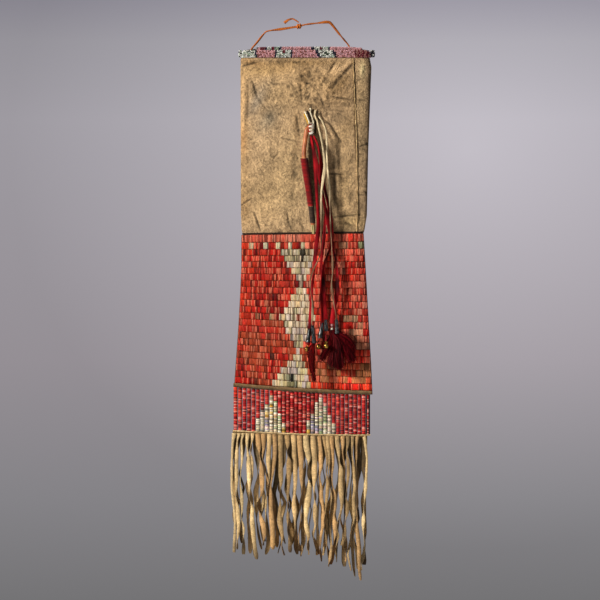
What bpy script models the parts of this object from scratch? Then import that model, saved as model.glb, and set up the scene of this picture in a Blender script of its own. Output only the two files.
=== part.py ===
"""Hide pipe bag with a quilled panel and quill-wrapped slats, hanging by its thong.

+X is the right of the bag as seen from the front, -Y is its front and +Z is up.
The origin is the point of the thong that the bag hangs on. Sizes are in metres.
"""

import math
import random

import bmesh
import bpy
import numpy as np
from mathutils import Vector

GAP = 0.0003  # clearance between pieces that touch
SQUARENESS = 3  # power of the rounded outline of the bag, seen from above

# Heights, from the hanging point down
THONG_DROP = 0.0361  # to the front lip of the mouth
BACK_LIP_RISE = 0.0046
HIDE_DROP = 0.2520  # front lip to the seam over the panel
SHOULDER_DROP = 0.0220
WAIST_DROP = 0.1356
SEAM_TUCK = 0.0065  # height over which the hide draws in to the panel
BULGE_LIFT = 0.0208  # the hide swells this far over its foot
SEAM_TILT = 0.0021
PANEL_LEFT_DROP = 0.2027
PANEL_RIGHT_DROP = 0.2154
PANEL_SAG = 0.00175
SLAT_LEFT_DROP = 0.0584  # strip under the panel to the lower border
SLAT_RIGHT_DROP = 0.0537

# Left edge, right edge and depth of the hide at each height
MOUTH = (-0.0834, 0.0870, 0.0210)
SHOULDER = (-0.0884, 0.0911, 0.0220)
WAIST = (-0.0881, 0.0867, 0.0210)
BULGE = (-0.0878, 0.0849, 0.0190)
HIDE_FOOT = (-0.0868, 0.0815, 0.0172)
PANEL_TOP = (-0.0851, 0.0782, 0.0160)
PANEL_FOOT = (-0.0954, 0.0906, 0.0090)
HIDE_WALL = 0.0024
POUCH_LIFT = 0.0020  # the pouch ends this far over the panel's lower edge

# Beaded edging of the mouth
BEAD = 0.0021
FRONT_LANE = 0.0095
BACK_LANE = 0.0085
BACK_LANE_INSIDE = 0.0052
BACK_EDGING_CORNERS = (8, 2)  # the corners of the hide's back that it runs between
BACK_EDGING_RIGHT = 0.90  # and it ends this far across, past the last of them
KNOB_HEIGHT = 0.0100
LEFT_KNOB_RADIUS = 0.0029
RIGHT_KNOB_RADIUS = 0.0036

# Seams
WELT_HEIGHT = 0.0023
WELT_THICKNESS = 0.0022
SIDE_SEAM_X = 0.0690
SIDE_SEAM_LEAN = 0.0025
SIDE_SEAM_WIDTH = 0.0016
SIDE_SEAM_RISE = 0.0009
SIDE_SEAM_CALM = 0.0080  # the hide lies flat this far on each side of the seam

# Quilled panel
BACKING = 0.0016
BACKING_GAP = 0.0007  # the sheet is sewn at its edges and lies a little off the pouch
QUILL_GAP = 0.0004
QUILL_GROOVE = 0.0008
QUILL_RIDGE = 0.0015
LANES = 23
LANE_EXTRA = 0.24
PLAIN_LANES = 2
FIGURE_GAP = 0.0003
PANEL_EDGE = 0.9986
QUILL_EDGE = 0.985
LEFT_COLUMNS = (-0.94, -0.80, -0.62)
RIGHT_COLUMNS = (0.40, 0.80, 0.94)
TOP_COLUMN = -0.14

# Left and right edge of the white figure in each lane, from the third lane down
FIGURE = (
    (-0.0332, 0.0127),
    (-0.0285, 0.0112),
    (-0.0248, 0.0100),
    (-0.0186, 0.0066),
    (-0.0118, 0.0021),
    (-0.0079, -0.0026),
    (-0.0118, 0.0021),
    (-0.0195, 0.0051),
    (-0.0225, 0.0081),
    (-0.0285, 0.0110),
    (-0.0355, 0.0142),
    (-0.0285, 0.0096),
    (-0.0263, 0.0066),
    (-0.0201, 0.0027),
    (-0.0148, -0.0027),
    (-0.0118, -0.0071),
    (-0.0164, -0.0040),
    (-0.0240, 0.0005),
    (-0.0332, 0.0036),
    (-0.0377, 0.0050),
    (-0.0447, 0.0081),
)

# Slats and the strip over them
STRIP_HEIGHT = 0.0055
DIVIDER_THICKNESS = 0.0014
RAWHIDE = 0.0019
SLATS = 32
SLAT_PITCH = 0.00585
SLAT_LEFT = -0.0980
# Slats stand closer together in the middle: count from the left, and place
SLAT_PLACES = ((0, -0.0980), (8.5, -0.0459), (20.5, 0.0218), (32, 0.0892))
SLAT_WIDTH = 0.0053
SLAT_THICKNESS = 0.0032
SLAT_NECK = 0.0006
CORE_WIDTH = 0.0032
CORE_THICKNESS = 0.0014
BORDER_HEIGHT = 0.0042
BELT_ROUND = 0.93
WHITE_HEIGHTS = {
    5: 0.0180,
    6: 0.0285,
    7: 0.0380,
    8: 0.0500,
    9: 0.0430,
    10: 0.0250,
    11: 0.0130,
    17: 0.0180,
    18: 0.0275,
    19: 0.0430,
    20: 0.0500,
    21: 0.0380,
    22: 0.0250,
    23: 0.0140,
}

# Fringe
FRINGE_HIDE = 0.0015
FRINGE_LEFT = -0.0990
FRINGE_RIGHT = 0.0850
# Thongs of the front fringe, in millimetres: middle and width at the top, and the foot
FRONT_THONGS = (
    (-96.9, 4.9, -722.5),
    (-91.0, 5.6, -718.4),
    (-85.2, 5.1, -725.2),
    (-78.9, 6.3, -732.1),
    (-72.6, 5.5, -723.8),
    (-65.2, 7.4, -715.6),
    (-57.0, 6.9, -718.4),
    (-48.9, 6.7, -725.2),
    (-41.6, 6.3, -718.4),
    (-33.6, 7.3, -726.6),
    (-24.7, 7.7, -722.5),
    (-15.6, 7.0, -725.2),
    (-7.7, 6.6, -722.5),
    (1.4, 8.2, -722.5),
    (11.0, 7.7, -725.2),
    (18.4, 5.5, -734.8),
    (23.8, 4.8, -738.9),
    (29.6, 5.3, -741.6),
    (36.2, 6.3, -738.9),
    (43.7, 6.3, -726.6),
    (50.7, 5.3, -734.8),
    (57.4, 6.3, -723.8),
    (64.1, 5.8, -755.3),
    (71.0, 5.8, -760.8),
    (80.0, 6.3, -749.9),
)
BACK_THONGS = 20
THONG_WIDTH = 0.0064
FRINGE_LEFT_LENGTH = 0.1640
FRINGE_RIGHT_LENGTH = 0.1960
FRINGE_STEPS = 4
FRONT_SPREAD = -0.0034
BACK_SPREAD = 0.0028

# Hanging thong, from inside the mouth over two pins to behind the back lip
HANGER_DIAMETER = 0.0038
HANGER_ROUTE = (
    (-0.0735, 0.0027, -0.0450),
    (-0.0737, 0.0025, -0.0345),
    (-0.0655, 0.0018, -0.0240),
    (-0.0556, 0.0006, -0.0118),
    (-0.0500, 0.0, -0.0086),
    (-0.0290, 0.0, -0.0056),
    (-0.0082, 0.0, -0.0022),
    (0.0, 0.0, 0.0),
    (0.0190, 0.0004, 0.0024),
    (0.0310, 0.0012, 0.0036),
    (0.0362, 0.0030, 0.0010),
    (0.0480, 0.0092, -0.0135),
    (0.0598, 0.0142, -0.0275),
    (0.0616, 0.0138, -0.0350),
    (0.0620, 0.0136, -0.0445),
)
KNOT_AT = Vector((-0.0082, 0.0, -0.0022))
KNOT_RADIUS = 0.0036
LOOSE_END_RADIUS = 0.0013
LOOSE_END_ROUTE = (
    (-0.0084, -0.0009, 0.0029),
    (-0.0126, -0.0014, 0.0058),
    (-0.0174, -0.0012, 0.0079),
    (-0.0232, -0.0004, 0.0062),
    (-0.0284, 0.0, 0.0023),
)

# Pendant tied through the front
TIE = Vector((0.0075, -0.0138, -0.1170))
TIE_RADIUS = 0.0027
STRAND_RADIUS = 0.0012
BINDING_RADIUS = 0.0036
BINDING_LENGTH = 0.0135
BINDING_TOP = Vector((0.0096, -0.0190, -0.1385))
STICK_RADIUS = 0.0032
STICK_ROUTE = (
    (0.0024, -0.0190, -0.1440),
    (-0.0010, -0.0192, -0.1700),
    (-0.0010, -0.0195, -0.1850),
    (0.0040, -0.0195, -0.2200),
    (0.0085, -0.0195, -0.2520),
    (0.0108, -0.0195, -0.2740),
    (0.0118, -0.0195, -0.2868),
)
YARN = 0.0014
RED_YARN_SPAN = (0.0400, 0.1060)  # along the stick, from its upper end
GREY_YARN_LENGTH = 0.0227
TIP_LENGTH = 0.0120

THONG = 0.0034
RED_ROUTES = (
    (
        (0.00785, -0.02095, -0.1532),
        (0.0110, -0.0236, -0.1717),
        (0.0140, -0.0262, -0.2019),
        (0.0164, -0.0268, -0.2389),
        (0.0182, -0.0268, -0.2745),
        (0.0158, -0.0262, -0.2980),
        (0.0130, -0.0258, -0.3252),
        (0.0096, -0.0258, -0.3635),
        (0.0075, -0.0260, -0.3978),
    ),
    (
        (0.01155, -0.02095, -0.1532),
        (0.0180, -0.0236, -0.1690),
        (0.0208, -0.0252, -0.1991),
        (0.0208, -0.0258, -0.2197),
        (0.0268, -0.0262, -0.2460),
        (0.0274, -0.0262, -0.2608),
        (0.0262, -0.0262, -0.2882),
        (0.0224, -0.0262, -0.3252),
        (0.0219, -0.0262, -0.3635),
        (0.0232, -0.0262, -0.3900),
    ),
    (
        (0.01155, -0.01725, -0.1532),
        (0.0190, -0.0186, -0.1717),
        (0.0235, -0.0192, -0.1991),
        (0.0255, -0.0196, -0.2197),
        (0.0325, -0.0196, -0.2500),
        (0.0363, -0.0196, -0.2786),
        (0.0370, -0.0196, -0.3019),
        (0.0425, -0.0196, -0.3252),
        (0.0438, -0.0196, -0.3635),
        (0.0395, -0.0196, -0.3890),
        (0.0370, -0.0196, -0.4060),
        (0.0370, -0.0196, -0.4092),
    ),
    (
        (0.00785, -0.01725, -0.1532),
        (0.0125, -0.0158, -0.1717),
        (0.0180, -0.0150, -0.1990),
        (0.0245, -0.0148, -0.2350),
        (0.0330, -0.0148, -0.2800),
        (0.0352, -0.0148, -0.3019),
        (0.0262, -0.0150, -0.3293),
        (0.0250, -0.0155, -0.3600),
        (0.0270, -0.0158, -0.3880),
    ),
)
WHITE_ROUTES = (
    (
        (0.0126, -0.0127, -0.1176),
        (0.0134, -0.0146, -0.1250),
        (0.0172, -0.0186, -0.1334),
        (0.0192, -0.0210, -0.1450),
        (0.0216, -0.0262, -0.1640),
        (0.0245, -0.0304, -0.1923),
        (0.0233, -0.0308, -0.2128),
        (0.0215, -0.0308, -0.2350),
        (0.0219, -0.0308, -0.2745),
        (0.0219, -0.0308, -0.3019),
        (0.0190, -0.0308, -0.3197),
        (0.0103, -0.0308, -0.3389),
        (0.0070, -0.0308, -0.3560),
        (0.0105, -0.0308, -0.3850),
    ),
    (
        (0.0170, -0.0132, -0.1212),
        (0.0206, -0.0152, -0.1285),
        (0.0246, -0.0196, -0.1354),
        (0.0290, -0.0216, -0.1500),
        (0.0297, -0.0224, -0.1720),
        (0.0302, -0.0232, -0.1940),
        (0.0330, -0.0234, -0.2197),
        (0.0345, -0.0234, -0.2608),
        (0.0362, -0.0234, -0.3000),
        (0.0377, -0.0234, -0.3361),
        (0.0363, -0.0236, -0.3566),
        (0.0390, -0.0240, -0.3800),
    ),
)

CONE_TOP_RADIUS = 0.0024
CONE_FOOT_RADIUS = 0.0036
CONE_WALL = 0.0004
# Upper and lower end of each tin cone, on the end of its thong
CONES = (
    ((0.0062, -0.0262, -0.4160), (0.0041, -0.0262, -0.4348)),
    ((0.0098, -0.0308, -0.4120), (0.0122, -0.0310, -0.4361)),
    ((0.0231, -0.0262, -0.4080), (0.0206, -0.0262, -0.4293)),
    ((0.0282, -0.0160, -0.4040), (0.0292, -0.0164, -0.4197)),
    ((0.0428, -0.0245, -0.4040), (0.0436, -0.0250, -0.4230)),
)
CONE_LEAD = 0.0050  # a thong lies in line with its cone this far above it
CONE_HOLD = 0.0020
RED_CONES = (1, 3, None, 4)
WHITE_CONES = (2, 5)
BELL_RADIUS = 0.0038
BELLS = (
    Vector((0.0030, -0.0262, -0.4442)),
    Vector((0.0184, -0.0262, -0.4410)),
    Vector((0.0286, -0.0352, -0.4400)),
)
BELL_NECK = 0.0064
CONE_BELLS = {1: 1, 3: 2}  # cones whose thong runs through to a bell
# Out of the fourth cone, then forward to the third bell
BELL_STRAND_ROUTE = (
    (0.0291, -0.0179, -0.4150),
    (0.0291, -0.0181, -0.4200),
    (0.0284, -0.0216, -0.4236),
    (0.0280, -0.0290, -0.4262),
    (0.0284, -0.0345, -0.4300),
)
BELL_STRAND_RADIUS = 0.0009
GLASS_BEAD_RADIUS = 0.0026
GLASS_BEADS = (
    Vector((0.0370, -0.0196, -0.4118)),
    Vector((0.0370, -0.0196, -0.4168)),
)
BIG_TUFT = (
    (0.0370, -0.0196, -0.4194, 0.0018),
    (0.0372, -0.0200, -0.4242, 0.0020),
    (0.0392, -0.0218, -0.4290, 0.0090),
    (0.0440, -0.0240, -0.4380, 0.0180),
    (0.0460, -0.0240, -0.4480, 0.0205),
    (0.0450, -0.0235, -0.4590, 0.0180),
    (0.0410, -0.0230, -0.4690, 0.0110),
    (0.0380, -0.0230, -0.4750, 0.0040),
)
SMALL_TUFT = (
    (0.0122, -0.0310, -0.4350, 0.0020),
    (0.0110, -0.0308, -0.4420, 0.0036),
    (0.0094, -0.0305, -0.4520, 0.0048),
    (0.0098, -0.0303, -0.4640, 0.0054),
    (0.0112, -0.0303, -0.4760, 0.0046),
    (0.0130, -0.0303, -0.4868, 0.0020),
)
TUFT_FLATNESS = 0.52

LIP_Z = -THONG_DROP
SEAM_Z = LIP_Z - HIDE_DROP
FOOT_Z = SEAM_Z - (PANEL_LEFT_DROP + PANEL_RIGHT_DROP) / 2
HIDE_FOOT_Z = SEAM_Z + SEAM_TUCK
PANEL_TOP_Z = SEAM_Z + SEAM_TUCK / 2
CALM_Z = LIP_Z - FRONT_LANE - 0.0020  # the hide lies flat above this, under the edging
STATIONS = (
    (LIP_Z, MOUTH),
    (LIP_Z - SHOULDER_DROP, SHOULDER),
    (LIP_Z - WAIST_DROP, WAIST),
    (HIDE_FOOT_Z + BULGE_LIFT, BULGE),
    (HIDE_FOOT_Z, HIDE_FOOT),
    (PANEL_TOP_Z, PANEL_TOP),
    (FOOT_Z, PANEL_FOOT),
)
QUILL_OUT = BACKING_GAP + BACKING + QUILL_GAP
HEADER_OUT = BACKING_GAP + BACKING + GAP
DIVIDER_OUT = HEADER_OUT + RAWHIDE + GAP
SLAT_OUT = HEADER_OUT + RAWHIDE / 2

# Folds in the hide: both ends as x and z, width, and height over the hide or depth under it
FOLDS = (
    ((0.0425, -0.0500), (0.0337, -0.0660), 0.0030, -0.0012),
    ((0.0600, -0.0600), (0.0470, -0.0780), 0.0040, 0.0016),
    ((0.0470, -0.0780), (0.0180, -0.1060), 0.0045, 0.0010),
    ((0.0560, -0.0680), (0.0420, -0.0880), 0.0035, -0.0010),
    ((0.0384, -0.0977), (0.0640, -0.1032), 0.0035, -0.0009),
    ((0.0323, -0.2043), (0.0532, -0.2043), 0.0040, -0.0010),
    ((0.0438, -0.2601), (0.0560, -0.2601), 0.0040, -0.0009),
    ((-0.0850, -0.0570), (-0.0589, -0.0510), 0.0040, -0.0010),
    ((-0.0589, -0.0540), (0.0100, -0.0530), 0.0040, 0.0010),
    ((-0.0200, -0.0620), (0.0060, -0.0780), 0.0060, 0.0013),
    ((-0.0220, -0.0800), (0.0000, -0.0860), 0.0050, -0.0010),
    ((0.0060, -0.0740), (0.0160, -0.0960), 0.0050, 0.0011),
    ((0.0060, -0.1120), (-0.0300, -0.1500), 0.0060, -0.0009),
    ((0.0080, -0.1100), (0.0100, -0.0900), 0.0040, -0.0010),
    ((-0.0671, -0.2640), (-0.0671, -0.2800), 0.0060, -0.0011),
    ((-0.0206, -0.2660), (-0.0206, -0.2800), 0.0060, -0.0010),
    ((-0.0440, -0.2640), (-0.0440, -0.2800), 0.0070, 0.0013),
    ((0.0200, -0.2640), (0.0200, -0.2800), 0.0080, 0.0012),
    ((-0.0480, -0.1450), (-0.0150, -0.1540), 0.0050, -0.0008),
)
HIDE_SEGMENTS_FRONT = 24
HIDE_SEGMENTS_BACK = 10
HIDE_ROW_PITCH = 0.0230

COLOURS = {
    "hide": ((0.56, 0.40, 0.22), 0.9, 0.0),
    "fringe_hide": ((0.60, 0.45, 0.27), 0.9, 0.0),
    "dark_hide": ((0.10, 0.06, 0.03), 0.9, 0.0),
    "olive_hide": ((0.20, 0.14, 0.07), 0.85, 0.0),
    "seam": ((0.66, 0.52, 0.33), 0.85, 0.0),
    "pink_beads": ((0.40, 0.17, 0.22), 0.3, 0.0),
    "white_beads": ((0.62, 0.64, 0.58), 0.3, 0.0),
    "black_beads": ((0.02, 0.02, 0.03), 0.3, 0.0),
    "red_quills": ((0.55, 0.05, 0.03), 0.5, 0.0),
    "white_quills": ((0.62, 0.55, 0.40), 0.5, 0.0),
    "slat_quills": ((0.45, 0.03, 0.04), 0.5, 0.0),
    "orange_thong": ((0.46, 0.12, 0.02), 0.7, 0.0),
    "wood": ((0.50, 0.18, 0.05), 0.6, 0.0),
    "red_yarn": ((0.40, 0.02, 0.02), 0.95, 0.0),
    "grey_yarn": ((0.06, 0.05, 0.06), 0.95, 0.0),
    "pale_thong": ((0.68, 0.58, 0.42), 0.85, 0.0),
    "yellow_thong": ((0.62, 0.42, 0.06), 0.8, 0.0),
    "red_thong": ((0.42, 0.01, 0.03), 0.8, 0.0),
    "tin": ((0.16, 0.16, 0.17), 0.45, 1.0),
    "brass": ((0.66, 0.46, 0.12), 0.3, 1.0),
    "maroon_hair": ((0.10, 0.005, 0.01), 0.9, 0.0),
}


def clear_scene():
    for item in list(bpy.data.objects):
        bpy.data.objects.remove(item, do_unlink=True)


def material(name):
    """The named material, made on its first use."""
    if name in bpy.data.materials:
        return bpy.data.materials[name]
    colour, roughness, metallic = COLOURS[name]
    made = bpy.data.materials.new(name)
    made.use_nodes = True
    shader = made.node_tree.nodes["Principled BSDF"]
    shader.inputs["Base Color"].default_value = (*colour, 1.0)
    shader.inputs["Roughness"].default_value = roughness
    shader.inputs["Metallic"].default_value = metallic
    return made


class Skin:
    """Gathers the faces of one solid. Corners that fall together become one vertex."""

    def __init__(self):
        self.numbers = {}
        self.points = []
        self.faces = []

    def number(self, corner):
        key = tuple(round(value * 1e7) for value in corner)
        if key not in self.numbers:
            self.numbers[key] = len(self.points)
            self.points.append(tuple(corner))
        return self.numbers[key]

    def face(self, *corners):
        ring = list(dict.fromkeys(self.number(corner) for corner in corners))
        if len(ring) > 2:
            self.faces.append(ring)

    def walls(self, rings):
        """Walls between one ring of points and the next."""
        for upper, lower in zip(rings, rings[1:]):
            for i, corner in enumerate(upper):
                j = (i + 1) % len(upper)
                self.face(corner, upper[j], lower[j], lower[i])

    def loft(self, rings):
        """Walls between rings, with both ends capped."""
        self.walls(rings)
        self.face(*rings[0])
        self.face(*rings[-1])

    def finish(self, name, colour, smooth=None):
        """The gathered faces as an object. smooth is the sharpest edge that is still shaded soft."""
        mesh = bpy.data.meshes.new(name)
        mesh.from_pydata(self.points, [], self.faces)
        work = bmesh.new()
        work.from_mesh(mesh)
        bmesh.ops.recalc_face_normals(work, faces=work.faces)
        bmesh.ops.triangulate(work, faces=[f for f in work.faces if len(f.verts) > 4])
        work.to_mesh(mesh)
        work.free()
        mesh.materials.append(material(colour))
        if smooth:
            mesh.shade_smooth()
            mesh.set_sharp_from_angle(angle=math.radians(smooth))
        item = bpy.data.objects.new(name, mesh)
        bpy.context.collection.objects.link(item)
        return item


def mix(start, end, share):
    return start + (end - start) * share


def section(z):
    """Centre, half width and half depth of the bag at a height."""
    drops = [-height for height, _ in STATIONS]
    left, right, depth = (
        float(np.interp(-z, drops, [sizes[i] for _, sizes in STATIONS])) for i in range(3)
    )
    return (left + right) / 2, (right - left) / 2, depth / 2


def skin_point(share, z, out=0.0, side=-1):
    """A point off the bag's smooth surface. share runs from -1 at its left edge to 1 at its right."""
    centre, half_width, half_depth = section(z)
    bulge = max(0.0, 1 - abs(share) ** SQUARENESS) ** (1 / SQUARENESS)
    normal = Vector((share * abs(share) / half_width, side * bulge**2 / half_depth, 0)).normalized()
    return Vector((centre + half_width * share, side * half_depth * bulge, z)) + out * normal


def share_at(x, z):
    """How far across the bag a point lies, from -1 to 1."""
    centre, half_width, _ = section(z)
    return (x - centre) / half_width


def fold_relief(x, z):
    """Height of the folds over the smooth hide."""
    height = 0.0
    for (x0, z0), (x1, z1), width, rise in FOLDS:
        along = ((x - x0) * (x1 - x0) + (z - z0) * (z1 - z0)) / ((x1 - x0) ** 2 + (z1 - z0) ** 2)
        along = min(1.0, max(0.0, along))
        distance = math.hypot(x - mix(x0, x1, along), z - mix(z0, z1, along))
        height += rise * math.exp(-((distance / width) ** 2))
    seam = min(1.0, max(0.0, (abs(x - SIDE_SEAM_X) - SIDE_SEAM_CALM) / 0.006))
    lip = min(1.0, max(0.0, (CALM_Z - z) / 0.008))
    foot = min(1.0, max(0.0, (z - HIDE_FOOT_Z) / 0.008))
    return height * seam * lip * foot


def panel_top(share):
    return SEAM_Z + SEAM_TILT * (1 + share) / 2


def panel_foot(share):
    across = (1 + share) / 2
    sag = 4 * PANEL_SAG * across * (1 - across)
    return panel_top(share) - mix(PANEL_LEFT_DROP, PANEL_RIGHT_DROP, across) - sag


def lip_height(share, side):
    """Height of the mouth's edge, which is raised behind."""
    if side < 0:
        return LIP_Z
    return LIP_Z + BACK_LIP_RISE * math.sqrt(max(0.0, 1 - share**4))


def hide_levels():
    """Heights of the rows of the hide, with one at each height where its outline bends."""
    stops = [CALM_Z] + [height for height, _ in STATIONS[1:5]]
    levels = [CALM_Z]
    for upper, lower in zip(stops, stops[1:]):
        count = math.ceil((upper - lower) / HIDE_ROW_PITCH)
        levels += [mix(upper, lower, (i + 1) / count) for i in range(count)]
    return levels


def hide_stops(limit):
    """The shares at which the front of the hide has its corners, as far as a limit."""
    turns = (math.pi * (1 + i / HIDE_SEGMENTS_FRONT) for i in range(HIDE_SEGMENTS_FRONT + 1))
    return [-limit, *(share for share in map(math.cos, turns) if abs(share) < limit - 0.002), limit]


def hide_pouch():
    """One hide tube, open at the mouth and closed at its foot behind the panel."""
    around = [i * math.pi / HIDE_SEGMENTS_BACK for i in range(HIDE_SEGMENTS_BACK)]
    around += [math.pi * (1 + i / HIDE_SEGMENTS_FRONT) for i in range(HIDE_SEGMENTS_FRONT)]
    stops = [(math.cos(angle), 1 if math.sin(angle) > 1e-9 else -1) for angle in around]

    def outer_ring(level):
        ring = []
        for share, side in stops:
            z = lip_height(share, side) if level is None else level
            relief = fold_relief(skin_point(share, z).x, z) if side < 0 else 0.0
            edge = 1 - abs(share) ** 8
            ring.append(skin_point(share, z, relief * edge, side))
        return ring

    def inner_point(share, side, z):
        centre, half_width, half_depth = section(z)
        bulge = max(0.0, 1 - abs(share) ** SQUARENESS) ** (1 / SQUARENESS)
        return Vector(
            (centre + (half_width - HIDE_WALL) * share, side * (half_depth - HIDE_WALL) * bulge, z)
        )

    outer = [outer_ring(level) for level in (None, *hide_levels())]
    outer.append([skin_point(share, PANEL_TOP_Z, 0, side) for share, side in stops])
    outer.append(
        [skin_point(share, panel_foot(share) + POUCH_LIFT, 0, side) for share, side in stops]
    )
    levels = [height for height, _ in STATIONS[1:-1]]
    inner = [[inner_point(share, side, lip_height(share, side)) for share, side in stops]]
    inner += [[inner_point(share, side, z) for share, side in stops] for z in levels]
    inner.append(
        [
            inner_point(share, side, panel_foot(share) + POUCH_LIFT + HIDE_WALL)
            for share, side in stops
        ]
    )
    skin = Skin()
    skin.walls(outer)
    skin.walls(inner)
    skin.walls([outer[0], inner[0]])
    for ring in (outer[-1], inner[-1]):
        half = HIDE_SEGMENTS_BACK
        front = [ring[i % len(ring)] for i in range(half, len(ring) + 1)]
        back = list(reversed(ring[: half + 1]))
        middle = [mix(front[0], front[-1], 0.25), mix(front[0], front[-1], 0.75)]
        skin.face(*front, *reversed(middle))
        skin.face(*back, *reversed(middle))
    skin.finish("hide_pouch", "hide", 60)


def swept(name, colour, shares, line, profile, side=-1, relief=False, smooth=None):
    """A band across the bag: profile holds distances off the hide and heights over the line."""
    rings = []
    for share in shares:
        ring = []
        for out, rise in profile:
            z = line(share) + rise
            fold = fold_relief(skin_point(share, z).x, z) if relief else 0.0
            ring.append(skin_point(share, z, out + fold, side))
        rings.append(ring)
    skin = Skin()
    skin.loft(rings)
    skin.finish(name, colour, smooth)


def bead_edging():
    """Rolled beadwork over both lips of the mouth, with a bead knob at each end."""
    outside = GAP + BEAD
    inside = -HIDE_WALL - GAP
    front = [
        (GAP, -FRONT_LANE),
        (outside, -FRONT_LANE),
        (outside, -BEAD * 0.4),
        (outside * 0.4, BEAD * 0.8),
        (inside * 0.6, BEAD),
        (inside * 0.9, GAP),
        (GAP, GAP),
    ]
    swept(
        "front_bead_edging", "pink_beads", hide_stops(0.985),
        lambda share: LIP_Z, front, smooth=50,
    )
    back = [
        (GAP, -BACK_LANE),
        (outside, -BACK_LANE),
        (outside, 0.0),
        (outside * 0.3, BEAD),
        (inside - BEAD * 0.3, BEAD),
        (inside - BEAD, 0.0),
        (inside - BEAD, -BACK_LANE_INSIDE),
        (inside, -BACK_LANE_INSIDE),
        (inside, GAP),
        (GAP, GAP),
    ]
    left, right = BACK_EDGING_CORNERS
    stops = [math.cos(i * math.pi / HIDE_SEGMENTS_BACK) for i in range(left, right - 1, -1)]
    swept(
        "back_bead_edging", "pink_beads", [*stops, BACK_EDGING_RIGHT],
        lambda share: lip_height(share, 1), back, side=1, smooth=50,
    )
    middle = LIP_Z - FRONT_LANE / 2 + BEAD / 2
    for name, share, radius in (
        ("left_bead_knob", -1, LEFT_KNOB_RADIUS),
        ("right_bead_knob", 1, RIGHT_KNOB_RADIUS),
    ):
        edge = max(share * skin_point(share, middle + k * KNOB_HEIGHT / 2).x for k in (-1, 0, 1))
        at = Vector((share * (edge + GAP + radius), 0, middle))
        heights = [(-0.5, 0.5), (-0.3, 1.0), (0.3, 1.0), (0.5, 0.5)]
        turned(name, "white_beads" if share < 0 else "black_beads", at,
               [(radius * size, KNOB_HEIGHT * height) for height, size in heights])


def turned(name, colour, at, profile, sides=10):
    """A solid turned about the vertical: profile holds radius and height, upwards or downwards."""
    rings = [
        [
            at + Vector((radius * math.cos(turn), radius * math.sin(turn), height))
            for turn in (2 * math.pi * i / sides for i in range(sides))
        ]
        for radius, height in profile
    ]
    skin = Skin()
    skin.loft(rings)
    skin.finish(name, colour, 50)


def seam_welts():
    """The dark welt between hide and panel, and the pale welt of the side seam."""
    profile = [
        (GAP, GAP),
        (GAP + WELT_THICKNESS * 0.7, GAP),
        (GAP + WELT_THICKNESS, GAP + WELT_HEIGHT * 0.4),
        (GAP + WELT_THICKNESS * 0.6, GAP + WELT_HEIGHT),
        (GAP, GAP + WELT_HEIGHT),
    ]
    swept("panel_seam_welt", "dark_hide", hide_stops(0.99), panel_top, profile, smooth=50)
    skin = Skin()
    rings = []
    levels = [LIP_Z - FRONT_LANE - 2 * GAP, *hide_levels()]
    for z in levels:
        x = SIDE_SEAM_X + SIDE_SEAM_LEAN * (levels[0] - z) / (levels[0] - levels[-1])
        corners = []
        for edge, out in ((-0.5, 0.0), (-0.2, 1.0), (0.2, 1.0), (0.5, 0.0)):
            share = share_at(x + edge * SIDE_SEAM_WIDTH, z)
            corners.append(skin_point(share, z, GAP + out * SIDE_SEAM_RISE))
        rings.append(corners)
    skin.loft(rings)
    skin.finish("side_seam_welt", "seam")


def lane_height(line, share):
    """Height of a line between two lanes. The first two lanes are a little taller."""
    extra = LANE_EXTRA * math.exp(-(((line - 2) / 2.3) ** 2)) if line > 0 else 0.0
    return mix(panel_top(share), panel_foot(share), (line + extra) / LANES)


def panel_backing():
    """The hide sheet under the quills, drawn round both sides and run on behind the slats."""
    skin = Skin()
    rings = []
    for share in hide_stops(PANEL_EDGE):
        foot = panel_foot(share) - STRIP_HEIGHT + GAP
        top = panel_top(share)
        rings.append(
            [
                skin_point(share, top, BACKING_GAP),
                skin_point(share, top, BACKING_GAP + BACKING),
                skin_point(share, foot, BACKING_GAP + BACKING),
                skin_point(share, foot, BACKING_GAP),
            ]
        )
    skin.loft(rings)
    skin.finish("panel_backing", "hide", 50)


def column_share(column, line):
    """Where a column crosses a lane line. Columns stand at a share of the width or at an x."""
    kind, value = column
    return value if kind == "share" else share_at(value, lane_height(line, 0.0))


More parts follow.
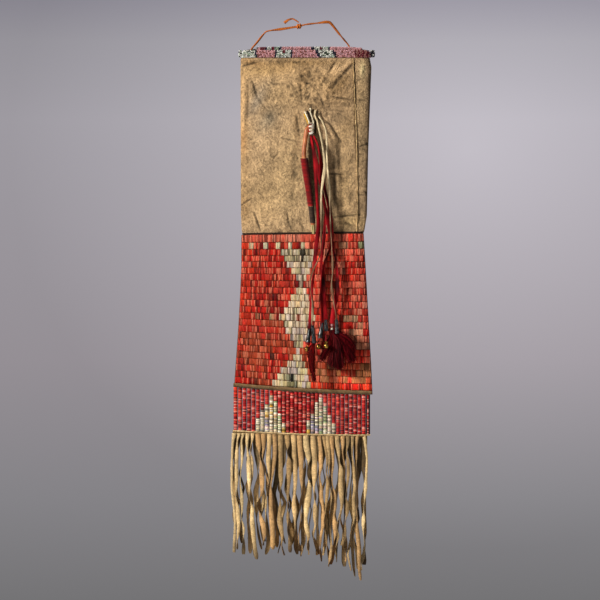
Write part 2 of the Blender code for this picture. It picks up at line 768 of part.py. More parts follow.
def quill_slab(name, colour, spans, columns, shifts):
    """Quilled lanes as one sheet with a ridge on each lane. spans holds each lane's stretches."""

    def corner(column, line, out):
        share = column_share(column, line)
        across, up = shifts.get((column, line), (0.0, 0.0))
        z = lane_height(line, share) + up
        _, half_width, _ = section(z)
        return skin_point(share + across / half_width, z, out)

    def ordered(held, line):
        return sorted(set(held), key=lambda column: column_share(column, line))

    def inside(lane, stretch):
        low, high = (column_share(end, lane + 0.5) for end in stretch)
        held = [c for c in columns[lane] if low < column_share(c, lane + 0.5) < high]
        return ordered([*stretch, *held], lane + 0.5)

    lines = [set() for _ in range(LANES + 1)]
    for lane, stretches in enumerate(spans):
        for stretch in stretches:
            lines[lane].update(inside(lane, stretch))
            lines[lane + 1].update(inside(lane, stretch))
    lines = [ordered(held, line) for line, held in enumerate(lines)]

    def between(line, first, last):
        held = lines[line]
        return held[held.index(first) : held.index(last) + 1]

    back = QUILL_OUT
    groove = back + QUILL_GROOVE
    ridge = back + QUILL_RIDGE
    skin = Skin()
    covered = [set() for _ in range(LANES + 1)]
    for lane, stretches in enumerate(spans):
        for stretch in stretches:
            posts = inside(lane, stretch)
            for first, last in zip(posts, posts[1:]):
                upper = between(lane, first, last)
                lower = between(lane + 1, first, last)
                crest = [corner(c, lane + 0.5, ridge) for c in (last, first)]
                skin.face(*(corner(c, lane, groove) for c in upper), *crest)
                skin.face(*(corner(c, lane + 1, groove) for c in lower), *crest)
                skin.face(
                    *(corner(c, lane, back) for c in upper),
                    *(corner(c, lane + 1, back) for c in reversed(lower)),
                )
                for line, held in ((lane, upper), (lane + 1, lower)):
                    covered[line] ^= set(zip(held, held[1:]))
            for end in stretch:
                skin.face(
                    corner(end, lane, back),
                    corner(end, lane, groove),
                    corner(end, lane + 0.5, ridge),
                    corner(end, lane + 1, groove),
                    corner(end, lane + 1, back),
                )
    for line, open_edges in enumerate(covered):
        for first, last in open_edges:
            skin.face(
                corner(first, line, back),
                corner(last, line, back),
                corner(last, line, groove),
                corner(first, line, groove),
            )
    skin.finish(name, colour)


def quillwork():
    """Red lanes with a stepped opening, and the white stepped figure that fills it."""
    left, right = ("share", -QUILL_EDGE), ("share", QUILL_EDGE)
    posts = [("share", share) for share in LEFT_COLUMNS + RIGHT_COLUMNS]
    red_spans, red_columns = [], []
    white_spans, white_columns = [], []
    for lane in range(LANES):
        if lane < PLAIN_LANES:
            red_spans.append([(left, right)])
            red_columns.append([*posts, ("share", TOP_COLUMN)])
            white_spans.append([])
        else:
            low, high = (("x", value) for value in FIGURE[lane - PLAIN_LANES])
            red_spans.append([(left, low), (high, right)])
            red_columns.append(posts)
            white_spans.append([(low, high)])
        white_columns.append([])
    quill_slab("red_quillwork", "red_quills", red_spans, red_columns, {})

    shifts = {}
    for line in range(PLAIN_LANES, LANES + 1):
        above = white_spans[line - 1] if line > PLAIN_LANES else []
        below = white_spans[line] if line < LANES else []
        for end, inward in ((0, 1), (1, -1)):
            if above and below:
                upper, lower = above[0][end], below[0][end]
                step = (lower[1] - upper[1]) * inward
                rise = 0.0 if step == 0 else math.copysign(FIGURE_GAP, step)
                shifts[(upper, line)] = shifts[(lower, line)] = (inward * FIGURE_GAP, rise)
            else:
                only = (above or below)[0][end]
                rise = FIGURE_GAP if above else -FIGURE_GAP
                shifts[(only, line)] = (inward * FIGURE_GAP, rise)
    for lane in range(PLAIN_LANES, LANES):
        for end, inward in ((0, 1), (1, -1)):
            shifts[(white_spans[lane][0][end], lane + 0.5)] = (inward * FIGURE_GAP, 0.0)
    quill_slab("white_quillwork", "white_quills", white_spans, white_columns, shifts)


def belt_y(x, out):
    """Depth of the flat strips under the panel, which bow a little less than the panel's foot."""
    _, _, half_depth = section(FOOT_Z)
    share = min(1.0, abs(share_at(x, FOOT_Z))) * BELT_ROUND
    return -half_depth * (1 - share**SQUARENESS) ** (1 / SQUARENESS) - out


def strip_top(x):
    return panel_foot(share_at(x, FOOT_Z)) - GAP


def slat_top(x):
    return strip_top(x) - STRIP_HEIGHT


def slat_foot(x):
    across = (x - SLAT_LEFT) / (SLATS * SLAT_PITCH)
    return slat_top(x) - mix(SLAT_LEFT_DROP, SLAT_RIGHT_DROP, across)


def flat_strip(name, colour, left, right, top, foot, out, thickness, steps=12):
    """A strip across the bag between two lines, at a depth that follows the belt."""
    skin = Skin()
    rings = []
    for step in range(steps + 1):
        x = mix(left, right, step / steps)
        near, far = belt_y(x, out + thickness), belt_y(x, out)
        rings.append(
            [
                Vector((x, near, top(x))),
                Vector((x, far, top(x))),
                Vector((x, far, foot(x))),
                Vector((x, near, foot(x))),
            ]
        )
    skin.loft(rings)
    skin.finish(name, colour)


def divider_strip():
    """The plain folded strip that covers the join of panel and slats."""
    right = SLAT_LEFT + SLATS * SLAT_PITCH
    flat_strip(
        "divider_strip", "olive_hide", SLAT_LEFT, right + RAWHIDE, strip_top,
        lambda x: slat_top(x) + GAP, DIVIDER_OUT, DIVIDER_THICKNESS,
    )


def toothed_edge(skin, mouths, far_line, near_out, far_out):
    """A flat strip with teeth on one edge. mouths holds each tooth's first ring: its front
    corners from left to right, then two back corners from right to left."""
    count = len(mouths[0]) - 2
    fronts = [ring[:count] for ring in mouths]
    backs = [list(reversed(ring[count:])) for ring in mouths]
    posts = [front[0].x for front in fronts] + [fronts[-1][-1].x]
    far = [
        (Vector((x, belt_y(x, near_out), far_line(x))), Vector((x, belt_y(x, far_out), far_line(x))))
        for x in posts
    ]
    for i, (front, back) in enumerate(zip(fronts, backs)):
        following = i + 1 < len(mouths)
        next_front = [fronts[i + 1][0]] if following else []
        next_back = [backs[i + 1][0]] if following else []
        skin.face(far[i][0], far[i + 1][0], *next_front, *reversed(front))
        skin.face(far[i][1], far[i + 1][1], *next_back, *reversed(back))
        skin.face(far[i][0], far[i + 1][0], far[i + 1][1], far[i][1])
        if following:
            skin.face(front[-1], next_front[0], next_back[0], back[-1])
    skin.face(far[0][0], fronts[0][0], backs[0][0], far[0][1])
    skin.face(far[-1][0], fronts[-1][-1], backs[-1][-1], far[-1][1])


def slat_ring(x, z, width, thickness, rounded=0.55):
    """Five corners round a slat, three in front and two behind."""
    half = width / 2
    near = SLAT_OUT + thickness / 2
    far = SLAT_OUT - thickness / 2
    shoulder = SLAT_OUT + thickness / 2 * rounded
    places = ((-half, shoulder), (0, near), (half, shoulder), (half, far), (-half, far))
    return [Vector((x + across, belt_y(x, out), z)) for across, out in places]


def slat_mouth(x, line):
    """Five corners where a slat leaves the flat strip at one of its edges."""
    half = SLAT_WIDTH / 2
    near, far = HEADER_OUT + RAWHIDE, HEADER_OUT
    places = ((-half, near), (0, near), (half, near), (half, far), (-half, far))
    return [Vector((x + across, belt_y(x + across, out), line(x + across))) for across, out in places]


def slat_band():
    """One rawhide piece cut into slats between two borders, and the white wraps on the slats."""
    skin = Skin()
    upper, lower = [], []
    for i in range(SLATS):
        x = float(np.interp(i + 0.5, *zip(*SLAT_PLACES)))
        top, foot = slat_top(x), slat_foot(x)
        head = slat_mouth(x, slat_top)
        heel = slat_mouth(x, slat_foot)
        wrapped = (SLAT_WIDTH, SLAT_THICKNESS)
        rings = [head, slat_ring(x, top - SLAT_NECK, *wrapped)]
        if i in WHITE_HEIGHTS:
            white_top = foot + WHITE_HEIGHTS[i]
            core = (CORE_WIDTH, CORE_THICKNESS)
            rings.append(slat_ring(x, white_top, *wrapped))
            rings.append(slat_ring(x, white_top, *core))
            rings.append(slat_ring(x, foot + SLAT_NECK, *core))
            white_wrap(i, x, white_top - GAP, foot + SLAT_NECK + GAP)
        else:
            rings.append(slat_ring(x, foot + SLAT_NECK, *wrapped))
        rings.append(heel)
        skin.walls(rings)
        upper.append(head)
        lower.append(heel)
    toothed_edge(skin, upper, strip_top, HEADER_OUT + RAWHIDE, HEADER_OUT)
    toothed_edge(skin, lower, border_foot, HEADER_OUT + RAWHIDE, HEADER_OUT)
    skin.finish("slat_band", "slat_quills")


def border_foot(x):
    return slat_foot(x) - BORDER_HEIGHT


def white_wrap(number, x, top, foot):
    """A sleeve of white quills round one slat's bare core."""
    skin = Skin()
    width, thickness = CORE_WIDTH + 2 * GAP, CORE_THICKNESS + 2 * GAP
    outer = [slat_ring(x, z, SLAT_WIDTH, SLAT_THICKNESS) for z in (top, foot)]
    inner = [slat_ring(x, z, width, thickness, 0.75) for z in (top, foot)]
    skin.walls(outer)
    skin.walls(inner)
    skin.walls([outer[0], inner[0]])
    skin.walls([outer[1], inner[1]])
    skin.finish(f"white_wrap_{number + 1:02d}", "white_quills")


def even_thongs(count, seed):
    """Middle, half width and length of thongs at even distances."""
    chance = random.Random(seed)
    thongs = []
    for i in range(count):
        across = (i + 0.5) / count
        length = mix(FRINGE_LEFT_LENGTH, FRINGE_RIGHT_LENGTH, across**2) * chance.uniform(0.88, 0.98)
        half = THONG_WIDTH / 2 * chance.uniform(0.85, 1.05)
        thongs.append((mix(FRINGE_LEFT, FRINGE_RIGHT, across), half, length))
    return thongs


def seen_thongs():
    """The same for the front thongs, as the photo shows them."""
    thongs = []
    for middle, width, foot in FRONT_THONGS:
        x = middle / 1000
        thongs.append((x, width / 2000, border_foot(x) - foot / 1000))
    return thongs


def fringe(name, thongs, out, spread_y, seed):
    """A hide strip behind the lower border, cut into hanging thongs that twist and taper."""
    chance = random.Random(seed)
    skin = Skin()
    mouths = []
    for x, half, length in thongs:
        places = ((-half, out + FRINGE_HIDE), (half, out + FRINGE_HIDE), (half, out), (-half, out))
        mouth = [Vector((x + dx, belt_y(x + dx, o), border_foot(x + dx) - GAP)) for dx, o in places]
        mouths.append(mouth)
        turn = math.radians(chance.choice((-1, 1)) * chance.uniform(40, 130))
        sway, lag = chance.uniform(-0.0006, 0.0006), chance.uniform(0.5, 2.5)
        rings = [mouth]
        for step in range(1, FRINGE_STEPS + 1):
            t = step / FRINGE_STEPS
            angle = turn * t**1.5
            wide = half * (1 - 0.35 * t**3)
            thin = FRINGE_HIDE / 2 * (1 - 0.3 * t)
            centre = Vector(
                (
                    x + sway * math.sin(math.pi * lag * t),
                    belt_y(x, out + FRINGE_HIDE / 2) + spread_y * min(1.0, 1.6 * t),
                    mouth[0].z - length * t,
                )
            )
            along = Vector((math.cos(angle), math.sin(angle), 0.0))
            through = Vector((math.sin(angle), -math.cos(angle), 0.0))
            corners = ((-wide, thin), (wide, thin), (wide, -thin), (-wide, -thin))
            rings.append([centre + along * a + through * b for a, b in corners])
        skin.walls(rings)
        skin.face(*rings[-1])
    toothed_edge(skin, mouths, lambda x: slat_foot(x) - 2 * GAP, out + FRINGE_HIDE, out)
    skin.finish(name, "fringe_hide")


def smooth_route(points, spacing):
    """Evenly spaced points on a smooth curve through a route's own points."""
    route = [Vector(point) for point in points]
    held = [2 * route[0] - route[1], *route, 2 * route[-1] - route[-2]]
    fine = []
    for before, start, end, after in zip(held, held[1:], held[2:], held[3:]):
        for step in range(16):
            t = step / 16
            bend = 2 * before - 5 * start + 4 * end - after
            twist = 3 * start - before - 3 * end + after
            fine.append(start + 0.5 * ((end - before) * t + bend * t**2 + twist * t**3))
    fine.append(route[-1])
    reach = np.cumsum([0.0] + [(b - a).length for a, b in zip(fine, fine[1:])])
    stops = np.linspace(0.0, reach[-1], max(2, round(reach[-1] / spacing)) + 1)
    return [Vector([float(np.interp(stop, reach, axis)) for axis in zip(*fine)]) for stop in stops]


def cord(name, colour, route, diameter):
    """A round thong as a curve with a bevel and filled ends."""
    curve = bpy.data.curves.new(name, "CURVE")
    curve.dimensions = "3D"
    curve.bevel_depth = diameter / 2
    curve.bevel_resolution = 2
    curve.use_fill_caps = True
    points = smooth_route(route, 3 * diameter)
    spline = curve.splines.new("POLY")
    spline.points.add(len(points) - 1)
    for held, point in zip(spline.points, points):
        held.co = (*point, 1.0)
    curve.materials.append(material(colour))
    item = bpy.data.objects.new(name, curve)
    bpy.context.collection.objects.link(item)


def round_rings(path, radii, sides=10, flat=1.0, lobes=0, lobe_depth=0.0):
    """Rings square to a path, one for each of its points."""
    rings = []
    for i, (point, radius) in enumerate(zip(path, radii)):
        ahead = path[min(i + 1, len(path) - 1)] - path[max(i - 1, 0)]
        right = Vector((0, 1, 0)).cross(ahead).normalized()
        toward = ahead.cross(right).normalized()
        ring = []
        for k in range(sides):
            turn = 2 * math.pi * k / sides
            size = radius * (1 - lobe_depth * (math.cos(lobes * turn) < 0))
            ring.append(point + right * size * math.cos(turn) + toward * size * flat * math.sin(turn))
        rings.append(ring)
    return rings


def rod(name, colour, path, radii, **form):
    skin = Skin()
    skin.loft(round_rings(path, radii, **form))
    skin.finish(name, colour, 50)


def sleeve(name, colour, path, inner, outer, sides=10):
    """A tube with a wall, open at both ends."""
    skin = Skin()
    around = round_rings(path, outer, sides)
    inside = round_rings(path, inner, sides)
    skin.walls(around)
    skin.walls(inside)
    skin.walls([around[0], inside[0]])
    skin.walls([around[-1], inside[-1]])
    skin.finish(name, colour, 50)


def hanger():
    """The thong that the bag hangs by, its knot and the loose end at the knot."""
    cord("hanging_thong", "orange_thong", HANGER_ROUTE, HANGER_DIAMETER)
    along = (Vector(HANGER_ROUTE[7]) - Vector(HANGER_ROUTE[5])).normalized()
    spots = [KNOT_AT + along * KNOT_RADIUS * step for step in (-0.9, -0.4, 0.4, 0.9)]
    hole = HANGER_DIAMETER / 2 + 2 * GAP
    sleeve(
        "thong_knot", "orange_thong", spots, [hole] * 4,
        [KNOT_RADIUS * size for size in (0.8, 1.0, 1.0, 0.8)],
    )
    path = smooth_route(LOOSE_END_ROUTE, 0.004)
    rod("thong_loose_end", "orange_thong", path, [LOOSE_END_RADIUS] * len(path), sides=8)


def stretch_of(path, start, end):
    """The part of a path between two distances along it."""
    reach = np.cumsum([0.0] + [(b - a).length for a, b in zip(path, path[1:])])
    stops = [start] + [float(r) for r in reach if start < r < end] + [end]
    return [Vector([float(np.interp(stop, reach, axis)) for axis in zip(*path)]) for stop in stops]


def pendant_stick():
    """The bare stick with its two yarn wraps and its pale tip."""
    path = smooth_route(STICK_ROUTE, 0.0105)
    total = sum((b - a).length for a, b in zip(path, path[1:]))
    wood = stretch_of(path, 0.0, total - TIP_LENGTH - GAP)
    rod("pendant_stick", "wood", wood, [STICK_RADIUS] * len(wood), sides=8)
    hole = STICK_RADIUS + GAP
    grey_start = RED_YARN_SPAN[1] + GAP
    for name, colour, (start, end), extra in (
        ("red_yarn_wrap", "red_yarn", RED_YARN_SPAN, 0.0),
        ("grey_yarn_wrap", "grey_yarn", (grey_start, grey_start + GREY_YARN_LENGTH), 0.0004),
    ):
        turns = stretch_of(path, start, end)
        outer = [hole + YARN + extra - 0.0003 * (i % 2) for i in range(len(turns))]
        sleeve(name, colour, turns, [hole] * len(turns), outer, sides=8)
    tip = stretch_of(path, total - TIP_LENGTH, total)
    rod("stick_tip", "pale_thong", tip, [STICK_RADIUS * 0.95] * (len(tip) - 1) + [STICK_RADIUS * 0.7])


def pendant_tie():
    """The knot in front of the hide, two strands and the binding that gathers the thongs."""
    turned(
        "tie_knot", "pale_thong", TIE,
        [(TIE_RADIUS * math.sin(a), TIE_RADIUS * math.cos(a)) for a in (0.5, 1.2, 1.95, 2.65)],
        sides=8,
    )
    reach = TIE_RADIUS + STRAND_RADIUS + 2 * GAP
    for name, colour, across in (
        ("tie_strand_white", "pale_thong", -1),
        ("tie_strand_yellow", "yellow_thong", 1),
    ):
        start = TIE + Vector((across * STRAND_RADIUS * 1.4, -0.0008, -reach))
        end = BINDING_TOP + Vector((across * STRAND_RADIUS * 1.25, 0, 3 * GAP))
        middle = mix(start, end, 0.5) + Vector((-0.0012, -0.0006, 0.0))
        path = smooth_route((start, middle, end), 0.004)
        rod(name, colour, path, [STRAND_RADIUS] * len(path), sides=6)
    turned(
        "pendant_binding", "pale_thong", BINDING_TOP,
        [
            (BINDING_RADIUS * size, -BINDING_LENGTH * drop)
            for drop, size in ((0, 0.85), (0.12, 1.0), (0.5, 0.93), (0.88, 1.0), (1.0, 0.97))
        ],
    )


def bell(name, at):
    """A round brass bell with a seam about its middle and a neck that its loop runs through."""
    radius = BELL_RADIUS
    profile = [
        (radius * 0.22, BELL_NECK),
        (radius * 0.30, radius * 1.05),
        (radius * 0.62, radius * 0.80),
        (radius * 0.95, radius * 0.34),
        (radius * 1.06, 0.0),
        (radius * 0.95, -radius * 0.34),
        (radius * 0.62, -radius * 0.80),
        (radius * 0.20, -radius),
    ]
    turned(name, "brass", at, profile, sides=8)


def into_cone(number):
    """The last points of a thong that runs into a tin cone, and through it where it holds a bell."""
    if number is None:
        return []
    top, foot = (Vector(end) for end in CONES[number - 1])
    along = (foot - top).normalized()
    if number in CONE_BELLS:
        return [top - along * CONE_LEAD, top, foot, above_bell(CONE_BELLS[number])]
    return [top - along * CONE_LEAD, top, top + along * CONE_HOLD]


def above_bell(number):
    return BELLS[number - 1] + Vector((0, 0, BELL_NECK + GAP))


def tassel():
    """Thongs below the tie with their tin cones, bells, glass beads and tufts."""
    for number, (route, cone) in enumerate(zip(RED_ROUTES, RED_CONES), 1):
        cord(f"red_thong_{number}", "red_thong", [*route, *into_cone(cone)], THONG)
    for number, (route, cone) in enumerate(zip(WHITE_ROUTES, WHITE_CONES), 1):
        cord(f"white_thong_{number}", "pale_thong", [*route, *into_cone(cone)], THONG)
    for number, ends in enumerate(CONES, 1):
        path = [Vector(end) for end in ends]
        outer = [CONE_TOP_RADIUS, CONE_FOOT_RADIUS]
        inner = [radius - CONE_WALL for radius in outer]
        sleeve(f"tin_cone_{number}", "tin", path, inner, outer)
    for number, at in enumerate(BELLS, 1):
        bell(f"brass_bell_{number}", at)
    path = smooth_route([*BELL_STRAND_ROUTE, above_bell(3)], 0.003)
    rod("bell_strand", "red_thong", path, [BELL_STRAND_RADIUS] * len(path), sides=6)
    for number, at in enumerate(GLASS_BEADS, 1):
        turned(
            f"glass_bead_{number}", "pink_beads", at,
            [(GLASS_BEAD_RADIUS * size, GLASS_BEAD_RADIUS * height)
             for size, height in ((0.5, 0.8), (0.92, 0.45), (0.92, -0.45), (0.5, -0.8))],
            sides=8,
        )
    for name, colour, stations, lobes in (
        ("maroon_tuft", "maroon_hair", BIG_TUFT, 6),
        ("small_tuft", "red_yarn", SMALL_TUFT, 4),
    ):
        path = [Vector(station[:3]) for station in stations]
        flat = TUFT_FLATNESS if name == "maroon_tuft" else 0.9
        rod(name, colour, path, [station[3] for station in stations],
            sides=lobes * 3, flat=flat, lobes=lobes, lobe_depth=0.12)


def main():
    clear_scene()
    hide_pouch()
    bead_edging()
    seam_welts()
    panel_backing()
    quillwork()
    divider_strip()
    slat_band()
    fringe("fringe_front", seen_thongs(), HEADER_OUT - GAP - FRINGE_HIDE, FRONT_SPREAD, 5)
    back = even_thongs(BACK_THONGS, 12)
    fringe("fringe_back", back, HEADER_OUT - 2 * (GAP + FRINGE_HIDE), BACK_SPREAD, 11)
    hanger()
    pendant_tie()
    pendant_stick()
    tassel()


main()
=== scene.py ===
"""Looks of a hide pipe bag with a quilled panel, quill-wrapped slats, a fringe and a pendant.

+X is the right of the bag as seen from the front, -Y its front and +Z up, in metres. The origin is
the point of the thong that the bag hangs on.
"""

import math
import random

import bmesh
import bpy
import numpy as np
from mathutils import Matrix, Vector, noise


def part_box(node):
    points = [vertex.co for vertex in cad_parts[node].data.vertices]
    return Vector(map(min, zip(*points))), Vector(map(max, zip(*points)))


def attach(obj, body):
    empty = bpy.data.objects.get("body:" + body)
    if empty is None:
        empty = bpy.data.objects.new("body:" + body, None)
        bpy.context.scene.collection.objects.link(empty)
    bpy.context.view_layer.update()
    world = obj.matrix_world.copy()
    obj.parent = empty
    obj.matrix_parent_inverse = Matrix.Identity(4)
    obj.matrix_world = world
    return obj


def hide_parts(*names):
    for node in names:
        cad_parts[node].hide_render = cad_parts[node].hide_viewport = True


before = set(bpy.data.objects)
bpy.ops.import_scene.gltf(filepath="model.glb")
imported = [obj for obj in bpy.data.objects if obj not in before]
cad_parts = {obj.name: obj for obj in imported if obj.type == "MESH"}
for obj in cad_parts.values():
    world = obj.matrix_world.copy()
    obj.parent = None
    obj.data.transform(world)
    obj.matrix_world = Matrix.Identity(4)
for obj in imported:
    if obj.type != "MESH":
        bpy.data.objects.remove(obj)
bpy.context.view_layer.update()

PIXEL = 0.00137  # one pixel of the picture, in metres at the bag
ORIGIN_X, ORIGIN_Y = 305.0, 24.65  # the hanging point in the picture
CAMERA_DISTANCE = 6.0
PICTURE = 600
FLOOR_RADIUS = 2.2
FLOOR_Z = -1.15

GAP = 0.0003  # left between pieces that lie on each other
SQUARENESS = 3  # power of the rounded outline of a cross section
UNEVENNESS = 0.03  # how much beads and quills differ in size

# Heights and outline of the bag, as the solids have them
THONG_DROP = 0.0361
BACK_LIP_RISE = 0.0046
HIDE_DROP = 0.2520
SEAM_TUCK = 0.0065
SEAM_TILT = 0.0021
PANEL_LEFT_DROP = 0.2027
PANEL_RIGHT_DROP = 0.2154
PANEL_SAG = 0.00175
SLAT_LEFT_DROP = 0.0584
SLAT_RIGHT_DROP = 0.0537
HIDE_WALL = 0.0024
POUCH_LIFT = 0.0020
LIP_Z = -THONG_DROP
SEAM_Z = LIP_Z - HIDE_DROP
FOOT_Z = SEAM_Z - (PANEL_LEFT_DROP + PANEL_RIGHT_DROP) / 2
HIDE_FOOT_Z = SEAM_Z + SEAM_TUCK
FRONT_LANE = 0.0095
BACK_LANE = 0.0085
BACK_LANE_INSIDE = 0.0052
CALM_Z = LIP_Z - FRONT_LANE - 0.0020
# Height, left edge, right edge and depth. The left edge of the panel is a little hollow.
STATIONS = (
    (LIP_Z, -0.0834, 0.0870, 0.0210),
    (LIP_Z - 0.0220, -0.0884, 0.0911, 0.0220),
    (LIP_Z - 0.1356, -0.0881, 0.0867, 0.0210),
    (LIP_Z - 0.2247, -0.0878, 0.0849, 0.0190),
    (HIDE_FOOT_Z, -0.0868, 0.0815, 0.0172),
    (SEAM_Z + SEAM_TUCK / 2, -0.0851, 0.0782, 0.0160),
    (-0.3252, -0.0850, 0.0806, 0.0147),
    (-0.3772, -0.0872, 0.0836, 0.0130),
    (-0.4183, -0.0896, 0.0860, 0.0116),
    (FOOT_Z, -0.0954, 0.0906, 0.0090),
)

BEAD_WIDTH = 0.00195
BEAD_HEIGHT = 0.00150

LANES = 23
LANE_EXTRA = 0.24
PLAIN_LANES = 2
BACKING_LIFT = 0.0007  # from the pouch to the sheet that the quills are sewn on
BACKING_OUT = 0.0023
QUILL_OUT = 0.0027
QUILL_THICKNESS = 0.0014
QUILL_EDGE = 0.9955
BRICK_WIDTH = 0.0064
QUILLS_IN_A_BRICK = 4
QUILL_SEAM = 0.0003  # between two bricks of quills
SHADED_QUILLS, SHADED_TURNS = 0.19, 0.23  # share of them that lies in the shade of the next
BRIGHT_FROM, BRIGHT_TURNS_FROM = 0.76, 0.90  # those above it catch the light
# Left and right edge of the white figure in each lane, from the third lane down
FIGURE = (
    (-0.0332, 0.0127), (-0.0285, 0.0112), (-0.0248, 0.0100), (-0.0186, 0.0066), (-0.0118, 0.0021),
    (-0.0079, -0.0026), (-0.0118, 0.0021), (-0.0195, 0.0051), (-0.0225, 0.0081), (-0.0285, 0.0110),
    (-0.0355, 0.0142), (-0.0285, 0.0096), (-0.0263, 0.0066), (-0.0201, 0.0027), (-0.0148, -0.0027),
    (-0.0118, -0.0071), (-0.0164, -0.0040), (-0.0240, 0.0005), (-0.0332, 0.0036),
    (-0.0377, 0.0050), (-0.0447, 0.0081),
)

STRIP_HEIGHT = 0.0055
HEADER_OUT = 0.0026
RAWHIDE = 0.0019
DIVIDER_OUT = HEADER_OUT + RAWHIDE + GAP
DIVIDER_THICKNESS = 0.0014
SLAT_OUT = HEADER_OUT + RAWHIDE / 2
SLATS = 32
SLAT_PITCH = 0.00585
SLAT_LEFT = -0.0980
# Slats stand closer together in the middle: count from the left, and place
SLAT_PLACES = ((0, -0.0980), (8.5, -0.0459), (20.5, 0.0218), (32, 0.0892))
SLAT_WIDTH = 0.0054
SLAT_THICKNESS = 0.0048
BORDER_HEIGHT = 0.0042
BELT_ROUND = 0.93
WRAP_PITCH = 0.0014
WHITE_HEIGHTS = {
    5: 0.0180, 6: 0.0285, 7: 0.0380, 8: 0.0500, 9: 0.0430, 10: 0.0250, 11: 0.0130, 17: 0.0180,
    18: 0.0275, 19: 0.0430, 20: 0.0500, 21: 0.0380, 22: 0.0250, 23: 0.0140,
}

FRINGE_HIDE = 0.0015
FRINGE_LEFT = -0.0990
FRINGE_RIGHT = 0.0850
FRINGE_LEFT_LENGTH = 0.1640
FRINGE_RIGHT_LENGTH = 0.1960
FRINGE_WIDTH = 0.0062
BACK_THONGS = 20

HANGER_ROUTE = (
    (-0.0735, 0.0027, -0.0450), (-0.0737, 0.0025, -0.0345), (-0.0655, 0.0018, -0.0240),
    (-0.0556, 0.0006, -0.0118), (-0.0500, 0.0, -0.0086), (-0.0290, 0.0, -0.0056),
    (-0.0082, 0.0, -0.0022), (0.0, 0.0, 0.0), (0.0190, 0.0004, 0.0024), (0.0310, 0.0012, 0.0036),
    (0.0362, 0.0030, 0.0010), (0.0480, 0.0092, -0.0135), (0.0598, 0.0142, -0.0275),
    (0.0616, 0.0138, -0.0350), (0.0620, 0.0136, -0.0445),
)
KNOT_AT = Vector(HANGER_ROUTE[6])
LOOSE_END_ROUTE = (
    (-0.0084, -0.0009, 0.0029), (-0.0126, -0.0014, 0.0058), (-0.0174, -0.0012, 0.0079),
    (-0.0232, -0.0004, 0.0062), (-0.0284, 0.0, 0.0023),
)

TIE = Vector((0.0075, -0.0138, -0.1170))
BINDING_TOP = Vector((0.0096, -0.0190, -0.1385))
BINDING_LENGTH = 0.0135
STICK_RADIUS = 0.0032
STICK_ROUTE = (
    (0.0024, -0.0190, -0.1440), (-0.0010, -0.0192, -0.1700), (-0.0010, -0.0195, -0.1850),
    (0.0040, -0.0195, -0.2200), (0.0085, -0.0195, -0.2520), (0.0108, -0.0195, -0.2740),
    (0.0118, -0.0195, -0.2868),
)
RED_YARN_SPAN = (0.0400, 0.1060)
GREY_YARN_SPAN = (0.1063, 0.1290)
TIP_LENGTH = 0.0120
RED_ROUTES = (
    (
        (0.00785, -0.02095, -0.1532), (0.0110, -0.0236, -0.1717), (0.0140, -0.0262, -0.2019),
        (0.0164, -0.0268, -0.2389), (0.0182, -0.0268, -0.2745), (0.0158, -0.0262, -0.2980),
        (0.0130, -0.0258, -0.3252), (0.0096, -0.0258, -0.3635), (0.0075, -0.0260, -0.3978),
    ),
    (
        (0.01155, -0.02095, -0.1532), (0.0180, -0.0236, -0.1690), (0.0208, -0.0252, -0.1991),
        (0.0208, -0.0258, -0.2197), (0.0268, -0.0262, -0.2460), (0.0274, -0.0262, -0.2608),
        (0.0262, -0.0262, -0.2882), (0.0224, -0.0262, -0.3252), (0.0219, -0.0262, -0.3635),
        (0.0232, -0.0262, -0.3900),
    ),
    (
        (0.01155, -0.01725, -0.1532), (0.0190, -0.0186, -0.1717), (0.0235, -0.0192, -0.1991),
        (0.0255, -0.0196, -0.2197), (0.0325, -0.0196, -0.2500), (0.0363, -0.0196, -0.2786),
        (0.0370, -0.0196, -0.3019), (0.0425, -0.0196, -0.3252), (0.0438, -0.0196, -0.3635),
        (0.0395, -0.0196, -0.3890), (0.0370, -0.0196, -0.4060), (0.0370, -0.0196, -0.4092),
    ),
    (
        (0.00785, -0.01725, -0.1532), (0.0125, -0.0158, -0.1717), (0.0180, -0.0150, -0.1990),
        (0.0245, -0.0148, -0.2350), (0.0330, -0.0148, -0.2800), (0.0352, -0.0148, -0.3019),
        (0.0262, -0.0150, -0.3293), (0.0250, -0.0155, -0.3600), (0.0270, -0.0158, -0.3880),
    ),
)
WHITE_ROUTES = (
    (
        (0.0140, -0.0127, -0.1180), (0.0136, -0.0146, -0.1250), (0.0168, -0.0186, -0.1334),
        (0.0192, -0.0210, -0.1450), (0.0235, -0.0262, -0.1640), (0.0272, -0.0304, -0.1923),
        (0.0245, -0.0308, -0.2128), (0.0221, -0.0308, -0.2350), (0.0219, -0.0308, -0.2745),
        (0.0219, -0.0308, -0.3019), (0.0190, -0.0308, -0.3197), (0.0103, -0.0308, -0.3389),
        (0.0070, -0.0308, -0.3560), (0.0105, -0.0308, -0.3850),
    ),
    (
        (0.0170, -0.0132, -0.1212), (0.0206, -0.0152, -0.1285), (0.0246, -0.0196, -0.1354),
        (0.0290, -0.0216, -0.1500), (0.0297, -0.0224, -0.1720), (0.0302, -0.0232, -0.1940),
        (0.0330, -0.0234, -0.2197), (0.0345, -0.0234, -0.2608), (0.0362, -0.0234, -0.3000),
        (0.0377, -0.0234, -0.3361), (0.0363, -0.0236, -0.3566), (0.0390, -0.0240, -0.3800),
    ),
)
CONES = (
    ((0.0062, -0.0262, -0.4160), (0.0041, -0.0262, -0.4348)),
    ((0.0098, -0.0308, -0.4120), (0.0122, -0.0310, -0.4361)),
    ((0.0231, -0.0262, -0.4080), (0.0206, -0.0262, -0.4293)),
    ((0.0282, -0.0160, -0.4040), (0.0292, -0.0164, -0.4197)),
    ((0.0428, -0.0245, -0.4040), (0.0436, -0.0250, -0.4230)),
)
CONE_TOP_RADIUS = 0.0024
CONE_FOOT_RADIUS = 0.0036
CONE_LEAD = 0.0050
